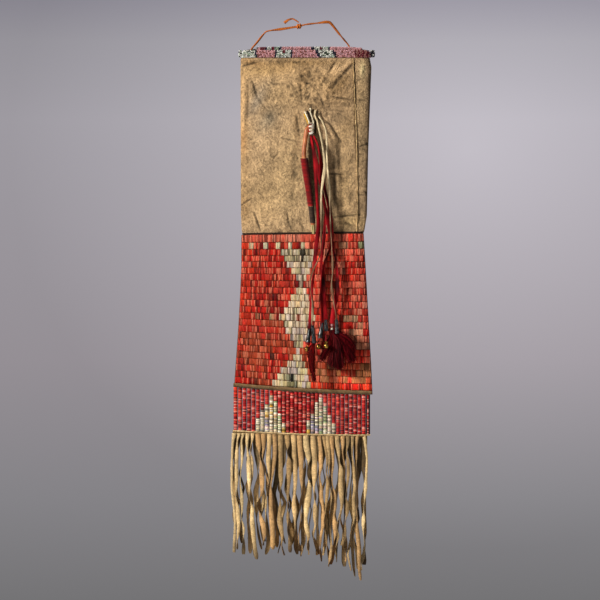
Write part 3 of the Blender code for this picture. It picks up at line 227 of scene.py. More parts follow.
CONE_HOLD = 0.0020
RED_CONES = (1, 3, None, 4)
WHITE_CONES = (2, 5)
CONE_BELLS = {1: 1, 3: 2}
BELL_RADIUS = 0.0038
BELL_NECK = 0.0064
BELLS = (
    Vector((0.0030, -0.0262, -0.4442)),
    Vector((0.0184, -0.0262, -0.4410)),
    Vector((0.0286, -0.0352, -0.4400)),
)
BELL_STRAND_ROUTE = (
    (0.0291, -0.0179, -0.4150), (0.0291, -0.0181, -0.4200), (0.0284, -0.0216, -0.4236),
    (0.0280, -0.0290, -0.4262), (0.0284, -0.0345, -0.4300),
)
GLASS_BEADS = (
    Vector((0.0370, -0.0196, -0.4118)),
    Vector((0.0370, -0.0196, -0.4168)),
)


def spot(x, y):
    """The x and z of a place that the picture shows at that pixel."""
    return (x - ORIGIN_X) * PIXEL, (ORIGIN_Y - y) * PIXEL


def linear(text):
    """A colour written as sRGB hex, in linear light."""
    channels = [int(text[i : i + 2], 16) / 255 for i in (1, 3, 5)]
    return np.array(
        [c / 12.92 if c <= 0.04045 else ((c + 0.055) / 1.055) ** 2.4 for c in channels] + [1.0]
    )


def add(tree, kind, settings=None, links=None):
    """Adds a node. settings holds its properties and unlinked inputs, links the others' sources."""
    node = tree.nodes.new(kind)
    for key, value in (settings or {}).items():
        if isinstance(key, str) and hasattr(node, key):
            setattr(node, key, value)
        else:
            node.inputs[key].default_value = value
    for key, source in (links or {}).items():
        tree.links.new(source, node.inputs[key])
    return node


def cells(size):
    """The scale of a pattern with one cell in that many metres."""
    return 1 / size


def worked(tree, operation, *values):
    """The outcome of one step of arithmetic on sockets and numbers."""
    settings, links = {"operation": operation}, {}
    for place, value in enumerate(values):
        (links if isinstance(value, bpy.types.NodeSocket) else settings)[place] = value
    return add(tree, "ShaderNodeMath", settings, links).outputs[0]


def bring(value, low, high, low_value, high_value):
    """A value moved from one range to another, held at its ends."""
    share = np.clip((np.asarray(value, float) - low) / (high - low), 0, 1)
    return low_value + (high_value - low_value) * share


def mix(first, second, share):
    """A blend of two colours, with that share of the second."""
    return first * (1 - share) + second * share


def wobble(x, y=0.0, z=0.0):
    """A smooth random value between -1 and 1 that belongs to a place."""
    return noise.noise(Vector((x, y, z)))


def placed(name, data):
    """A new object in the scene."""
    item = bpy.data.objects.new(name, data)
    bpy.context.collection.objects.link(item)
    return item


def turn_outward(mesh):
    """Turns all the faces of a closed mesh outward."""
    work = bmesh.new()
    work.from_mesh(mesh)
    bmesh.ops.recalc_face_normals(work, faces=work.faces)
    work.to_mesh(mesh)
    work.free()


# Finishes


def blank(name, settings):
    """A material with its shader, and the coordinates of its piece."""
    made = bpy.data.materials.new(name)
    made.use_nodes = True
    tree = made.node_tree
    tree.nodes.clear()
    shader = add(tree, "ShaderNodeBsdfPrincipled", settings)
    add(tree, "ShaderNodeOutputMaterial", {}, {"Surface": shader.outputs[0]})
    where = add(tree, "ShaderNodeTexCoord").outputs["Object"]
    return made, tree, shader, where


def ramp(tree, source, pairs):
    """Colours by a value: pairs of place and grey level or hex colour."""
    node = add(tree, "ShaderNodeValToRGB", {}, {"Fac": source})
    elements = node.color_ramp.elements
    while len(elements) < len(pairs):
        elements.new(0.5)
    for element, (place, value) in zip(elements, pairs):
        element.position = place
        element.color = linear(value) if isinstance(value, str) else (value, value, value, 1)
    return node.outputs["Color"]


def shaded(tree, ground, shade):
    """A colour made darker or lighter by a grey one."""
    node = add(
        tree, "ShaderNodeMix", {"data_type": "RGBA", "blend_type": "MULTIPLY", 0: 1.0},
        {6: ground, 7: shade},
    )
    return node.outputs[2]


def bumped(tree, shader, height, strength, distance):
    """Raises the surface of a finish by a height."""
    settings = {"Strength": strength, "Distance": distance}
    node = add(tree, "ShaderNodeBump", settings, {"Height": height})
    tree.links.new(node.outputs[0], shader.inputs["Normal"])


def hide_finish(name, colour, blotch_size=0.020, nap_size=0.0032, depth=0.0007, contrast=1.0):
    """Smoked, brain-tanned hide: dry and napped, so it scatters light softly. Blotches of smoke
    and soil, a coarse grain and two nets of fine wrinkles break up its colour."""
    sheen = {"Sheen Weight": 0.06, "Sheen Roughness": 0.5}
    dry = {"Roughness": 0.9, "Specular IOR Level": 0.25, **sheen}
    made, tree, shader, where = blank(name, dry)
    if colour is None:
        ground = add(tree, "ShaderNodeVertexColor", {"layer_name": "tint"}).outputs["Color"]
    else:
        ground = add(tree, "ShaderNodeRGB")
        ground.outputs[0].default_value = linear(colour)
        ground = ground.outputs[0]

    def grain(size, detail, roughness, distortion):
        settings = {"Scale": cells(size), "Detail": detail, "Roughness": roughness}
        settings["Distortion"] = distortion
        return add(tree, "ShaderNodeTexNoise", settings, {"Vector": where}).outputs["Fac"]

    def net(size, distortion):
        level = worked(tree, "SUBTRACT", grain(size, 2.0, 0.5, distortion), 0.5)
        return worked(tree, "ABSOLUTE", level)

    blotch, nap = grain(blotch_size, 7.0, 0.62, 0.6), grain(nap_size, 4.0, 0.72, 0.3)
    broad_net, fine_net = net(0.013, 1.6), net(0.0056, 1.2)
    parts = (
        (blotch, ((0.30, 1 - 0.38 * contrast), (0.50, 1.0), (0.68, 1.0 + 0.28 * contrast))),
        (nap, ((0.30, 1 - 0.56 * contrast), (0.50, 1.0), (0.72, 1.0 + 0.46 * contrast))),
        (broad_net, ((0.0, 1 - 0.30 * contrast), (0.028, 1.0))),
        (fine_net, ((0.0, 1 - 0.20 * contrast), (0.045, 1.0))),
    )
    for source, shades in parts:
        ground = shaded(tree, ground, ramp(tree, source, shades))
    tree.links.new(ground, shader.inputs["Base Color"])
    height = nap
    for source, weight in ((broad_net, 1.6), (fine_net, 0.8), (blotch, 1.2)):
        height = worked(tree, "MULTIPLY_ADD", source, weight, height)
    bumped(tree, shader, height, 1.0, depth)
    return made


def lined_finish(name, lines, settings, low=0.72, high=1.14, depth=0.00015):
    """A piece coloured point by point, with fine lines. lines is the size of the pattern along
    each axis."""
    made, tree, shader, where = blank(name, settings)
    ground = add(tree, "ShaderNodeVertexColor", {"layer_name": "tint"}).outputs["Color"]
    along = add(
        tree, "ShaderNodeMapping", {"Scale": [cells(size) for size in lines]}, {"Vector": where}
    )
    grain = add(
        tree, "ShaderNodeTexNoise", {"Scale": 1.0, "Detail": 3.0, "Roughness": 0.6},
        {"Vector": along.outputs[0]},
    ).outputs["Fac"]
    shade = ramp(tree, grain, ((0.30, low), (0.5, 1.0), (0.72, high)))
    tree.links.new(shaded(tree, ground, shade), shader.inputs["Base Color"])
    bumped(tree, shader, grain, 0.7, depth)
    return made


def metal_finish(name, bright, dark, roughness):
    """Old sheet metal: polished where it is rubbed, dull and dark in between."""
    made, tree, shader, where = blank(name, {"Metallic": 1.0, "Roughness": roughness})
    tarnish = add(
        tree, "ShaderNodeTexNoise", {"Scale": cells(0.003), "Detail": 5.0}, {"Vector": where}
    ).outputs["Fac"]
    colour = ramp(tree, tarnish, ((0.38, dark), (0.62, bright)))
    tree.links.new(colour, shader.inputs["Base Color"])
    bumped(tree, shader, tarnish, 0.5, 0.0001)
    return made


# Shapes


def section(z):
    """Centre, half width and half depth of the bag at each height."""
    table = np.array(STATIONS)
    left, right, depth = (np.interp(-np.asarray(z), -table[:, 0], table[:, i]) for i in (1, 2, 3))
    return (left + right) / 2, (right - left) / 2, depth / 2


def squared(value, power):
    """A sine or cosine drawn toward a square outline, or a round one."""
    return np.sign(value) * np.abs(value) ** power


def bulge_of(share):
    """How far out the surface stands, 1 in the middle of the bag and 0 at its edges."""
    return np.maximum(0.0, 1 - np.abs(share) ** SQUARENESS) ** (1 / SQUARENESS)


def skin(share, z, out=0.0, side=-1):
    """Points off the bag's smooth surface, and the turn of the surface about the vertical."""
    share, z, out, side = np.broadcast_arrays(
        *(np.asarray(value, float) for value in (share, z, out, side))
    )
    centre, half_width, half_depth = section(z)
    bulge = bulge_of(share)
    across = share * np.abs(share) / half_width
    through = side * bulge**2 / half_depth
    reach = np.hypot(across, through)
    points = np.stack(
        [
            centre + half_width * share + out * across / reach,
            side * half_depth * bulge + out * through / reach,
            z,
        ],
        -1,
    )
    return points, np.arctan2(across, -through)


def share_at(x, z):
    """How far from the middle of the bag a place lies, -1 at its left edge and 1 at its right."""
    centre, half_width, _ = section(z)
    return (x - centre) / half_width


def panel_top(share):
    """Height of the seam over the panel, which rises to the right."""
    return SEAM_Z + SEAM_TILT * (1 + share) / 2


def panel_foot(share):
    """Height of the panel's foot, which sags in its middle."""
    across = (1 + share) / 2
    sag = 4 * PANEL_SAG * across * (1 - across)
    drop = PANEL_LEFT_DROP + (PANEL_RIGHT_DROP - PANEL_LEFT_DROP) * across
    return panel_top(share) - drop - sag


def lane_height(line, share):
    """Height of a line between two lanes. The first two lanes are a little taller."""
    shown = line + LANE_EXTRA * np.exp(-(((line - 2) / 2.3) ** 2)) * (line > 0)
    top = panel_top(share)
    return top + (panel_foot(share) - top) * shown / LANES


def lip_height(share, side):
    """Height of the mouth. Its back lip stands higher."""
    rise = BACK_LIP_RISE * np.sqrt(np.maximum(0.0, 1 - np.asarray(share) ** 4))
    return LIP_Z + np.where(np.asarray(side) > 0, rise, 0.0)


def belt_y(x, out):
    """How far forward the slats and the fringe lie, along the round foot of the pouch."""
    _, _, half_depth = section(FOOT_Z)
    share = np.minimum(1.0, np.abs(share_at(x, FOOT_Z))) * BELT_ROUND
    return -half_depth * (1 - share**SQUARENESS) ** (1 / SQUARENESS) - out


def strip_top(x):
    """Height of the upper edge of the folded strip."""
    return panel_foot(share_at(x, FOOT_Z)) - GAP


def slat_top(x):
    """Height of the tops of the slats."""
    return strip_top(x) - STRIP_HEIGHT


def slat_foot(x):
    """Height of the feet of the slats."""
    across = (x - SLAT_LEFT) / (SLATS * SLAT_PITCH)
    return slat_top(x) - (SLAT_LEFT_DROP + (SLAT_RIGHT_DROP - SLAT_LEFT_DROP) * across)


def slat_x(slat):
    """Place of a slat's middle, counted from the left."""
    return float(np.interp(slat + 0.5, *zip(*SLAT_PLACES)))


def border_foot(x):
    """Height where the strip over the fringe ends."""
    return slat_foot(x) - BORDER_HEIGHT


def smooth_route(points, spacing):
    """Evenly spaced points on a smooth curve through a route's own points."""
    route = [Vector(point) for point in points]
    held = [2 * route[0] - route[1], *route, 2 * route[-1] - route[-2]]
    fine = []
    for before, start, end, after in zip(held, held[1:], held[2:], held[3:]):
        for step in range(16):
            t = step / 16
            bend = 2 * before - 5 * start + 4 * end - after
            twist = 3 * start - before - 3 * end + after
            fine.append(start + 0.5 * ((end - before) * t + bend * t**2 + twist * t**3))
    fine.append(route[-1])
    fine = np.array(fine)
    reach = lengths(fine)
    places = np.linspace(0.0, reach[-1], max(2, round(reach[-1] / spacing)) + 1)
    return at_places(fine, reach, places)


def lengths(path):
    """How far along a path each of its points lies."""
    return np.concatenate([[0.0], np.cumsum(np.linalg.norm(np.diff(path, axis=0), axis=1))])


def at_places(path, reach, places):
    """Points of a path at some distances along it."""
    return np.stack([np.interp(places, reach, path[:, i]) for i in range(3)], -1)


def stretch_of(path, start, end):
    """The part of a path between two distances along it."""
    reach = lengths(path)
    return at_places(path, reach, [start, *reach[(reach > start) & (reach < end)], end])


class Gather:
    """Gathers the points, faces and colours of one piece."""

    def __init__(self):
        self.points, self.faces, self.tints = [], [], []
        self.count = 0

    def grid(self, rows, tint, closed=True, caps=True):
        """Faces between rows of points, which run round a ring or from side to side."""
        rows = np.asarray(rows, float)
        high, wide = rows.shape[:2]
        start = self.count
        self.points.append(rows.reshape(-1, 3))
        tint = np.asarray(tint, float)
        if tint.ndim == 2:
            tint = tint[:, None, :]
        self.tints.append(np.broadcast_to(tint, (high, wide, 4)).reshape(-1, 4))
        self.count += high * wide
        for i in range(high - 1):
            for j in range(wide if closed else wide - 1):
                k = (j + 1) % wide
                first, second = start + i * wide, start + (i + 1) * wide
                self.faces.append((first + j, first + k, second + k, second + j))
        if closed and caps:
            last = start + (high - 1) * wide
            self.faces.append(tuple(range(start, start + wide)))
            self.faces.append(tuple(reversed(range(last, last + wide))))
        return start

    def piece(self, name, finish, slot, body="bag", stands_for=(), smooth=80):
        """The gathered faces as a piece, smooth but for edges sharper than that many degrees."""
        mesh = bpy.data.meshes.new(name)
        mesh.from_pydata(np.concatenate(self.points).tolist(), [], self.faces)
        layer = mesh.color_attributes.new("tint", "FLOAT_COLOR", "POINT")
        layer.data.foreach_set("color", np.concatenate(self.tints).astype(np.float32).ravel())
        turn_outward(mesh)
        return settle(name, mesh, finish, slot, body, stands_for, smooth)


def settle(name, mesh, finish, slot, body, stands_for, smooth):
    """Makes a piece of a mesh: its finish and its body, and hides the solids that it stands for.
    slot is not used.
    """
    mesh.materials.clear()
    mesh.materials.append(finish)
    mesh.shade_smooth()
    mesh.set_sharp_from_angle(angle=math.radians(smooth))
    item = placed(name, mesh)
    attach(item, body)
    if stands_for:
        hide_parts(*stands_for)
    return item


def one_piece(rows, tint, *about, **more):
    """A piece made of a single grid."""
    gather = Gather()
    gather.grid(rows, tint)
    return gather.piece(*about, **more)


def tube(path, wide, thick, turn=0.0, sides=8, power=2.0):
    """Rings along a path, so wide across it and so thick through it, turned about it."""
    path = np.asarray(path, float)
    ahead = np.gradient(path, axis=0)
    ahead /= np.linalg.norm(ahead, axis=1, keepdims=True)
    right = np.cross((0.0, 1.0, 0.0), ahead)
    right /= np.linalg.norm(right, axis=1, keepdims=True)
    toward = np.cross(ahead, right)
    angles = np.linspace(0, 2 * math.pi, sides, endpoint=False)
    across, through = squared(np.cos(angles), 2 / power), squared(np.sin(angles), 2 / power)
    count = len(path)
    wide, thick, turn = (np.broadcast_to(np.asarray(v, float), count) for v in (wide, thick, turn))
    a, b = across * wide[:, None], through * thick[:, None]
    c, s = np.cos(turn)[:, None], np.sin(turn)[:, None]
    return (
        path[:, None]
        + right[:, None] * (a * c - b * s)[..., None]
        + toward[:, None] * (a * s + b * c)[..., None]
    )


def turned(at, profile, sides):
    """Rings about the vertical: profile holds radius and height."""
    angles = np.linspace(0, 2 * math.pi, sides, endpoint=False)
    circle = np.stack([np.cos(angles), np.sin(angles), np.zeros(sides)], -1)
    return np.array(at) + np.array([circle * radius + (0, 0, height) for radius, height in profile])


# Node trees for what repeats


def tree_with(name, **inputs):
    """A node tree that takes geometry, some inputs and a finish, with what it is given."""
    tree = bpy.data.node_groups.new(name, "GeometryNodeTree")
    for label, kind in (("Geometry", "Geometry"), *inputs.items(), ("Finish", "Material")):
        tree.interface.new_socket(label, in_out="INPUT", socket_type=f"NodeSocket{kind}")
    tree.interface.new_socket("Geometry", in_out="OUTPUT", socket_type="NodeSocketGeometry")
    return tree, add(tree, "NodeGroupInput").outputs


def carried(tree, name, kind):
    """What each point carries under a name."""
    settings = {"data_type": kind, "Name": name}
    return add(tree, "GeometryNodeInputNamedAttribute", settings).outputs[0]


def close_tree(tree, geometry, finish):
    """Gives the geometry of a tree its finish and hands it out."""
    done = add(tree, "GeometryNodeSetMaterial", {}, {"Geometry": geometry, "Material": finish})
    add(tree, "NodeGroupOutput", {}, {"Geometry": done.outputs[0]})
    return tree


def points_tree():
    """Sets copies of a small shape on points that carry their own turn, size and tint."""
    tree, given = tree_with("set_on_points", Shape="Object")
    shape = add(tree, "GeometryNodeObjectInfo", {}, {"Object": given["Shape"]})
    chance = add(
        tree, "FunctionNodeRandomValue",
        {"data_type": "FLOAT", 2: 1 - UNEVENNESS, 3: 1 + UNEVENNESS, "Seed": 1},
    )
    scale = add(
        tree, "ShaderNodeVectorMath", {"operation": "SCALE"},
        {0: carried(tree, "size", "FLOAT_VECTOR"), "Scale": chance.outputs[1]},
    )
    turning = add(
        tree, "FunctionNodeEulerToRotation", {}, {"Euler": carried(tree, "turn", "FLOAT_VECTOR")}
    )
    copied = add(
        tree, "GeometryNodeInstanceOnPoints", {},
        {
            "Points": given["Geometry"],
            "Instance": shape.outputs["Geometry"],
            "Rotation": turning.outputs[0],
            "Scale": scale.outputs[0],
        },
    )
    real = add(tree, "GeometryNodeRealizeInstances", {}, {"Geometry": copied.outputs[0]})
    return close_tree(tree, real.outputs[0], given["Finish"])


def strands_tree():
    """Round strands along lines that carry their own thickness and tint."""
    tree, given = tree_with("round_strands", Sides="Int")
    line = add(tree, "GeometryNodeMeshToCurve", {}, {"Mesh": given["Geometry"]})
    circle = add(
        tree, "GeometryNodeCurvePrimitiveCircle", {"Radius": 1.0}, {"Resolution": given["Sides"]}
    )
    swept = add(
        tree, "GeometryNodeCurveToMesh", {"Fill Caps": True},
        {
            "Curve": line.outputs[0],
            "Profile Curve": circle.outputs[0],
            "Scale": carried(tree, "thick", "FLOAT"),
        },
    )
    return close_tree(tree, swept.outputs[0], given["Finish"])


def grown(name, points, edges, fields, tree, values):
    """The mesh that a node tree makes of some points, with the fields that they carry."""
    mesh = bpy.data.meshes.new(name)
    mesh.from_pydata(np.asarray(points).tolist(), edges, [])
    for field, (kind, data) in fields.items():
        layer = mesh.attributes.new(field, kind, "POINT")
        key = {"FLOAT": "value", "FLOAT_VECTOR": "vector", "FLOAT_COLOR": "color"}[kind]
        layer.data.foreach_set(key, np.asarray(data, np.float32).ravel())
    item = placed(name, mesh)
    modifier = item.modifiers.new("grown", "NODES")
    modifier.node_group = tree
    for socket in tree.interface.items_tree:
        if socket.in_out == "INPUT" and socket.name in values:
            modifier[socket.identifier] = values[socket.name]
    depsgraph = bpy.context.evaluated_depsgraph_get()
    made = bpy.data.meshes.new_from_object(
        item.evaluated_get(depsgraph), preserve_all_data_layers=True, depsgraph=depsgraph
    )
    bpy.data.objects.remove(item)
    return made


SET_ON_POINTS = points_tree()
ROUND_STRANDS = strands_tree()


def copies(name, shape, spots, finish, slot, stands_for):
    """Copies of a shape on the bag: spots holds each one's place, turn, size and tint."""
    places, turns, sizes, tints = (np.array(column) for column in zip(*spots))
    fields = {
        "turn": ("FLOAT_VECTOR", turns),
        "size": ("FLOAT_VECTOR", sizes),
        "tint": ("FLOAT_COLOR", tints),
    }
    values = {"Shape": shape, "Finish": finish}
    mesh = grown(name, places, [], fields, SET_ON_POINTS, values)
    return settle(name, mesh, finish, slot, "bag", stands_for, 60)


def strands(name, lines, finish, slot, body="pendant", stands_for=(), sides=6):
    """Round strands: lines holds each one's points, thickness at each and tint at each."""
    points, edges, thick, tints = [], [], [], []
    for path, radii, tint in lines:
        start = len(thick)
        points.extend(np.asarray(path).tolist())
        edges.extend((start + i, start + i + 1) for i in range(len(path) - 1))
        thick.extend(np.broadcast_to(radii, len(path)))
        tints.extend(np.broadcast_to(tint, (len(path), 4)))
    fields = {"thick": ("FLOAT", thick), "tint": ("FLOAT_COLOR", tints)}
    values = {"Sides": sides, "Finish": finish}
    mesh = grown(name, points, edges, fields, ROUND_STRANDS, values)
    return settle(name, mesh, finish, slot, body, stands_for, 80)


def small_shape(name, rows):
    """A closed shape of unit size that is copied and isn't shown itself."""
    gather = Gather()
    gather.grid(rows, (1, 1, 1, 1))
    mesh = bpy.data.meshes.new(name)
    mesh.from_pydata(np.concatenate(gather.points).tolist(), [], gather.faces)
    turn_outward(mesh)
    return placed(name, mesh)


def vary(chance, colour, spread):
    """A colour made a little lighter or darker, and a little warmer or cooler."""
    level = 1 + chance.uniform(-spread, spread)
    warm = 1 + chance.uniform(-spread, spread) * 0.25
    return np.array([colour[0] * level * warm, colour[1] * level, colour[2] * level / warm, 1.0])


# Finishes used on several pieces

HIDE = hide_finish("smoked_hide", None, depth=0.0014)
PLAIN_HIDE = hide_finish("plain_smoked_hide", None, blotch_size=0.012)
# The welt at the hide's foot is painted near black, as the shade in the groove where the hide
# overlaps the panel.
DARK_WELT = hide_finish("hide_welt_painted_shade", "#2A1B12", depth=0.0003)
SEAM_WELT = hide_finish("pale_hide_welt", None, depth=0.0002, contrast=0.7)
FRINGE_SUEDE = hide_finish(
    "cut_fringe_hide", None, blotch_size=0.012, nap_size=0.0026, depth=0.0003, contrast=0.75
)
GLASS = lined_finish(
    "opaque_glass_seed_bead", (0.004, 0.004, 0.004), {"Roughness": 0.32, "Specular IOR Level": 0.4},
    0.85, 1.1, 0.00003,
)
PANEL_QUILL = lined_finish(
    "dyed_quill_folded_upright", (0.00050, 0.0015, 0.007),
    {"Roughness": 0.50, "Specular IOR Level": 0.18}, 0.50, 1.36, 0.00025,
)
WRAP_QUILL = lined_finish(
    "dyed_quill_wrapped_round", (0.0022, 0.0022, 0.0006),
    {"Roughness": 0.50, "Specular IOR Level": 0.16}, 0.50, 1.36, 0.0002,
)
LACE = lined_finish(
    "cut_hide_lace", (0.0011, 0.0011, 0.006),
    {"Roughness": 0.75, "Specular IOR Level": 0.10}, 0.50, 1.34, 0.0004,
)
WOOL = lined_finish(
    "spun_wool_yarn", (0.0006, 0.0006, 0.0004),
    {"Roughness": 0.95, "Sheen Weight": 0.15, "Sheen Roughness": 0.4, "Specular IOR Level": 0.2},
    0.6, 1.3, 0.0003,
)
HAIR = lined_finish(
    "dyed_animal_hair", (0.0015, 0.0015, 0.010), {"Roughness": 0.6, "Specular IOR Level": 0.06},
    0.5, 1.5, 0.0001,
)
TWIG = lined_finish(
    "peeled_and_handled_twig", (0.0012, 0.0012, 0.011), {"Roughness": 0.45, "Coat Weight": 0.1},
    0.62, 1.25, 0.0003,
)
TIN = metal_finish("rolled_tin_plate", "#5C6062", "#14130F", 0.26)
BRASS = metal_finish("worn_sheet_brass", "#C49A48", "#3E2C10", 0.22)


# The hide

FOLDS = [
    # both ends by pixel, width and rise in millimetres
    ((336, 60.4), (329.6, 72), 2.4, -1.5), ((340, 62), (333, 74), 3.5, 0.8),
    ((352, 60.5), (337, 75), 4.2, 1.5), ((337, 75), (324, 92), 3.8, 1.4),
    ((353, 64), (341, 77), 4.2, -1.5), ((341, 77), (331, 89), 4.6, -1.2),
    ((346, 66), (333, 80), 2.4, -0.7), ((324, 84), (331, 92), 2.6, 1.1),
    ((321, 88), (329, 99), 2.4, -1.1), ((325, 86), (327, 103), 2.4, 0.9),
    ((318, 92), (324, 106), 2.6, -0.9), ((354.2, 60), (354.6, 100), 2.2, -1.0),
    ((354.6, 100), (356.2, 160), 2.2, -0.9), ((328, 70), (316, 92), 3.2, 0.9),
    ((332, 97), (354, 100.4), 2.4, -1.1), ((331, 95), (354, 98.4), 1.8, 0.9),
    ((331, 101), (354, 102.6), 1.8, 0.8), ((330, 109), (363, 109.5), 1.8, 0.5),
    ((330, 111), (363, 111.5), 2.2, -0.5), ((366.5, 143), (370.5, 147), 2.6, -2.0),
    ((365.5, 192), (369.5, 196), 2.6, -2.0), ((328.6, 174), (344, 174.4), 2.2, -1.5),
    ((328.6, 171), (346, 171), 4.0, 0.8), ((334, 217), (360, 214.5), 2.4, -1.3),
    ((336, 211.5), (353, 207), 4.0, 1.1), ((344, 222), (352, 226), 3.0, -0.8),
    ((242, 66.5), (262, 61), 2.4, -1.3), ((262, 61), (306, 62.5), 2.6, -0.7),
    ((244, 62), (262, 58.5), 3.5, 0.8), ((252, 80), (257, 97), 2.6, -1.3),
    ((257, 97), (268, 112), 3.0, -0.8), ((283, 138.5), (300, 142.5), 2.4, -1.1),
    ((283, 135), (299, 138), 3.5, 0.5), ((272.5, 160.5), (278.5, 153), 2.0, -0.9),
    ((240, 206), (252, 198), 2.6, -1.2), ((240, 202), (251, 194), 3.2, 0.6),
    ((254, 212), (261.5, 233), 2.6, -1.3), ((259, 212), (266, 233), 4.5, 0.8),
    ((287, 212), (288.5, 222), 2.6, -1.3), ((288.5, 222), (293, 233), 2.6, -1.2),
    ((283, 212), (284, 233), 4.0, 0.9), ((299, 222), (307, 233), 3.0, -0.9),
    ((296.5, 116), (299.5, 136), 3.0, -1.0), ((291, 122), (294, 150), 5.0, 0.6),
    ((296, 150), (292, 200), 7.0, -0.8), ((316, 118), (330, 125), 2.6, -1.2),
    ((330, 125), (341, 142), 3.0, -1.2), ((341, 142), (338, 165), 5.0, -0.7),
    ((328, 120), (344, 134), 4.5, 1.0), ((346, 150), (344, 206), 8.0, 1.0),
    ((334, 150), (335, 208), 6.0, -1.2), ((360, 146.5), (366.5, 144.5), 2.0, -1.5),
    ((357, 195.5), (366, 194.5), 2.2, -0.9), ((358, 100), (366, 101), 2.6, -0.8),
    ((361, 66), (363, 80), 4.0, 1.0), ((244, 75), (243, 130), 4.0, 0.8),
    ((248, 80), (247, 125), 3.5, -0.8), ((268, 85), (290, 84), 3.0, -0.6),
    ((300, 84), (302, 100), 2.6, -1.0), ((294, 78), (300, 92), 3.2, 0.8),
    ((262, 178), (292, 182), 5.0, 0.5), ((265, 205), (285, 200), 5.0, 0.6),
]
FOLD_WIDTH = 0.55
CRUMPLE = ((311, 84), (24, 24))  # middle and reach of the crumpled part, in pixels
# Fields of colour on the hide: middle, reach and lean in pixels and degrees, colour, strength. Most
# are stains; the ones marked below are painted shade and painted light.
STAINS_AND_PAINTED_LIGHT = (
    ((242, 110), (6, 55), 0, "#B08A58", 0.50),
    ((243, 190), (6, 45), 0, "#9C7C50", 0.40),
    # Painted shade in the valley of the fold at the upper right.
    ((341, 83), (5, 15), -42, "#5C4524", 0.55),
    ((360, 100), (5, 30), 0, "#9C8864", 0.20),
    # Painted shadow of the stick on the hide, in the narrow channel between the stick and the red
    # laces.
    ((310.6, 150), (2.4, 22), 3, "#1C0F0A", 0.92),
    ((312.6, 194), (2.6, 26), 3, "#1C0F0A", 0.88),
    ((330, 100), (26, 12), 0, "#94795A", 0.32),
    ((262, 71), (20, 7), 0, "#B08E5A", 0.60),
    # Painted shade under the bead rim.
    ((300, 63), (40, 3), 0, "#8A6A3C", 0.50),
    ((252, 63), (10, 3), -10, "#7C5A30", 0.60),
    ((258, 100), (5, 14), -30, "#8C857A", 0.65),
    ((268, 120), (7, 11), -35, "#8E8674", 0.50),
    ((253.5, 91), (2.5, 5), -15, "#5E5340", 0.60),
    ((270, 118), (3, 4), 0, "#5A584E", 0.50),
    ((318, 78), (22, 16), 0, "#A98654", 0.35),
    ((340, 90), (12, 14), -35, "#8E7048", 0.42),
    ((344, 103), (12, 7), 0, "#947A58", 0.42),
    ((303, 80), (4, 14), -10, "#8B6A42", 0.40),
    ((283, 68), (16, 5), 0, "#9A7A4C", 0.45),
    ((284, 95), (22, 14), 0, "#B49668", 0.40),
    ((362, 120), (6, 60), 0, "#A68E66", 0.34),
    ((362.5, 70), (2.5, 6), 0, "#D0C090", 0.65),
    # Painted shade down the right edge of the bag, which turns away from the light.
    ((369.5, 110), (1.8, 60), 0, "#33241A", 0.85),
    ((367.5, 190), (1.8, 40), 0, "#3E2C1C", 0.80),
    ((243, 140), (3, 14), 0, "#8E6030", 0.45),
    ((243, 205), (5, 14), 10, "#86643C", 0.50),
    ((262, 200), (14, 26), 0, "#AE9060", 0.35),
    ((290, 180), (20, 40), 0, "#BEA272", 0.45),
    # Painted shade along the fold left of the tie.
    ((296, 150), (4, 22), 5, "#8E7854", 0.40),
    ((297, 122), (3, 10), 5, "#8E7048", 0.45),
    # Painted light that lifts the shadow of the laces on the hide right of them.
    ((345, 190), (9, 36), 0, "#B89A68", 0.40),
    ((346, 130), (9, 16), -30, "#B09060", 0.35),
    # Painted shade along the foot of the hide, where it overlaps the panel.
    ((300, 232), (75, 1.8), 0, "#6A4A2A", 0.55),
    # Painted highlight on the bulge at the lower right.
    ((352, 222), (12, 6), 0, "#B89C68", 0.45),
    ((318, 105), (10, 5), 0, "#7E6440", 0.35),
)
HIDE_BASE = "#B09471"
INSIDE_HIDE = "#6B5236"
BACK_HIDE = "#8A6E48"
# The hide under the bead lanes is painted near black, as the shade between the beads.
PAINTED_SHADE_UNDER_BEADS = "#2A2018"
# Points across the front and the back of the hide, and down to the seam, below it and inside
HIDE_FRONT = 200
HIDE_BACK = 56
HIDE_DOWN = 200
HIDE_BELOW = 26
HIDE_INSIDE = 26


def random_creases():
    """Short crossing creases of the crumpled part over the tie, and small ones elsewhere."""
    chance = random.Random(41)
    (x, y), (reach_x, reach_y) = CRUMPLE
    made = []
    for k in range(170):
        if k < 84:
            start = (x + chance.gauss(0, 0.55) * reach_x, y + chance.gauss(0, 0.5) * reach_y)
            rise = chance.choice((-0.7, -0.5, 0.6))
        else:
            start = (chance.uniform(242, 364), chance.uniform(66, 230))
            rise = chance.choice((-0.35, -0.25, 0.3))
        way, size = chance.uniform(0, math.pi), chance.uniform(2.5, 7.5)
        end = (start[0] + size * math.cos(way), start[1] + size * math.sin(way))
        if min(start[1], end[1]) > 60 and max(start[0], end[0]) < 366:
            made.append((start, end, chance.uniform(1.6, 2.6), rise))
    return made


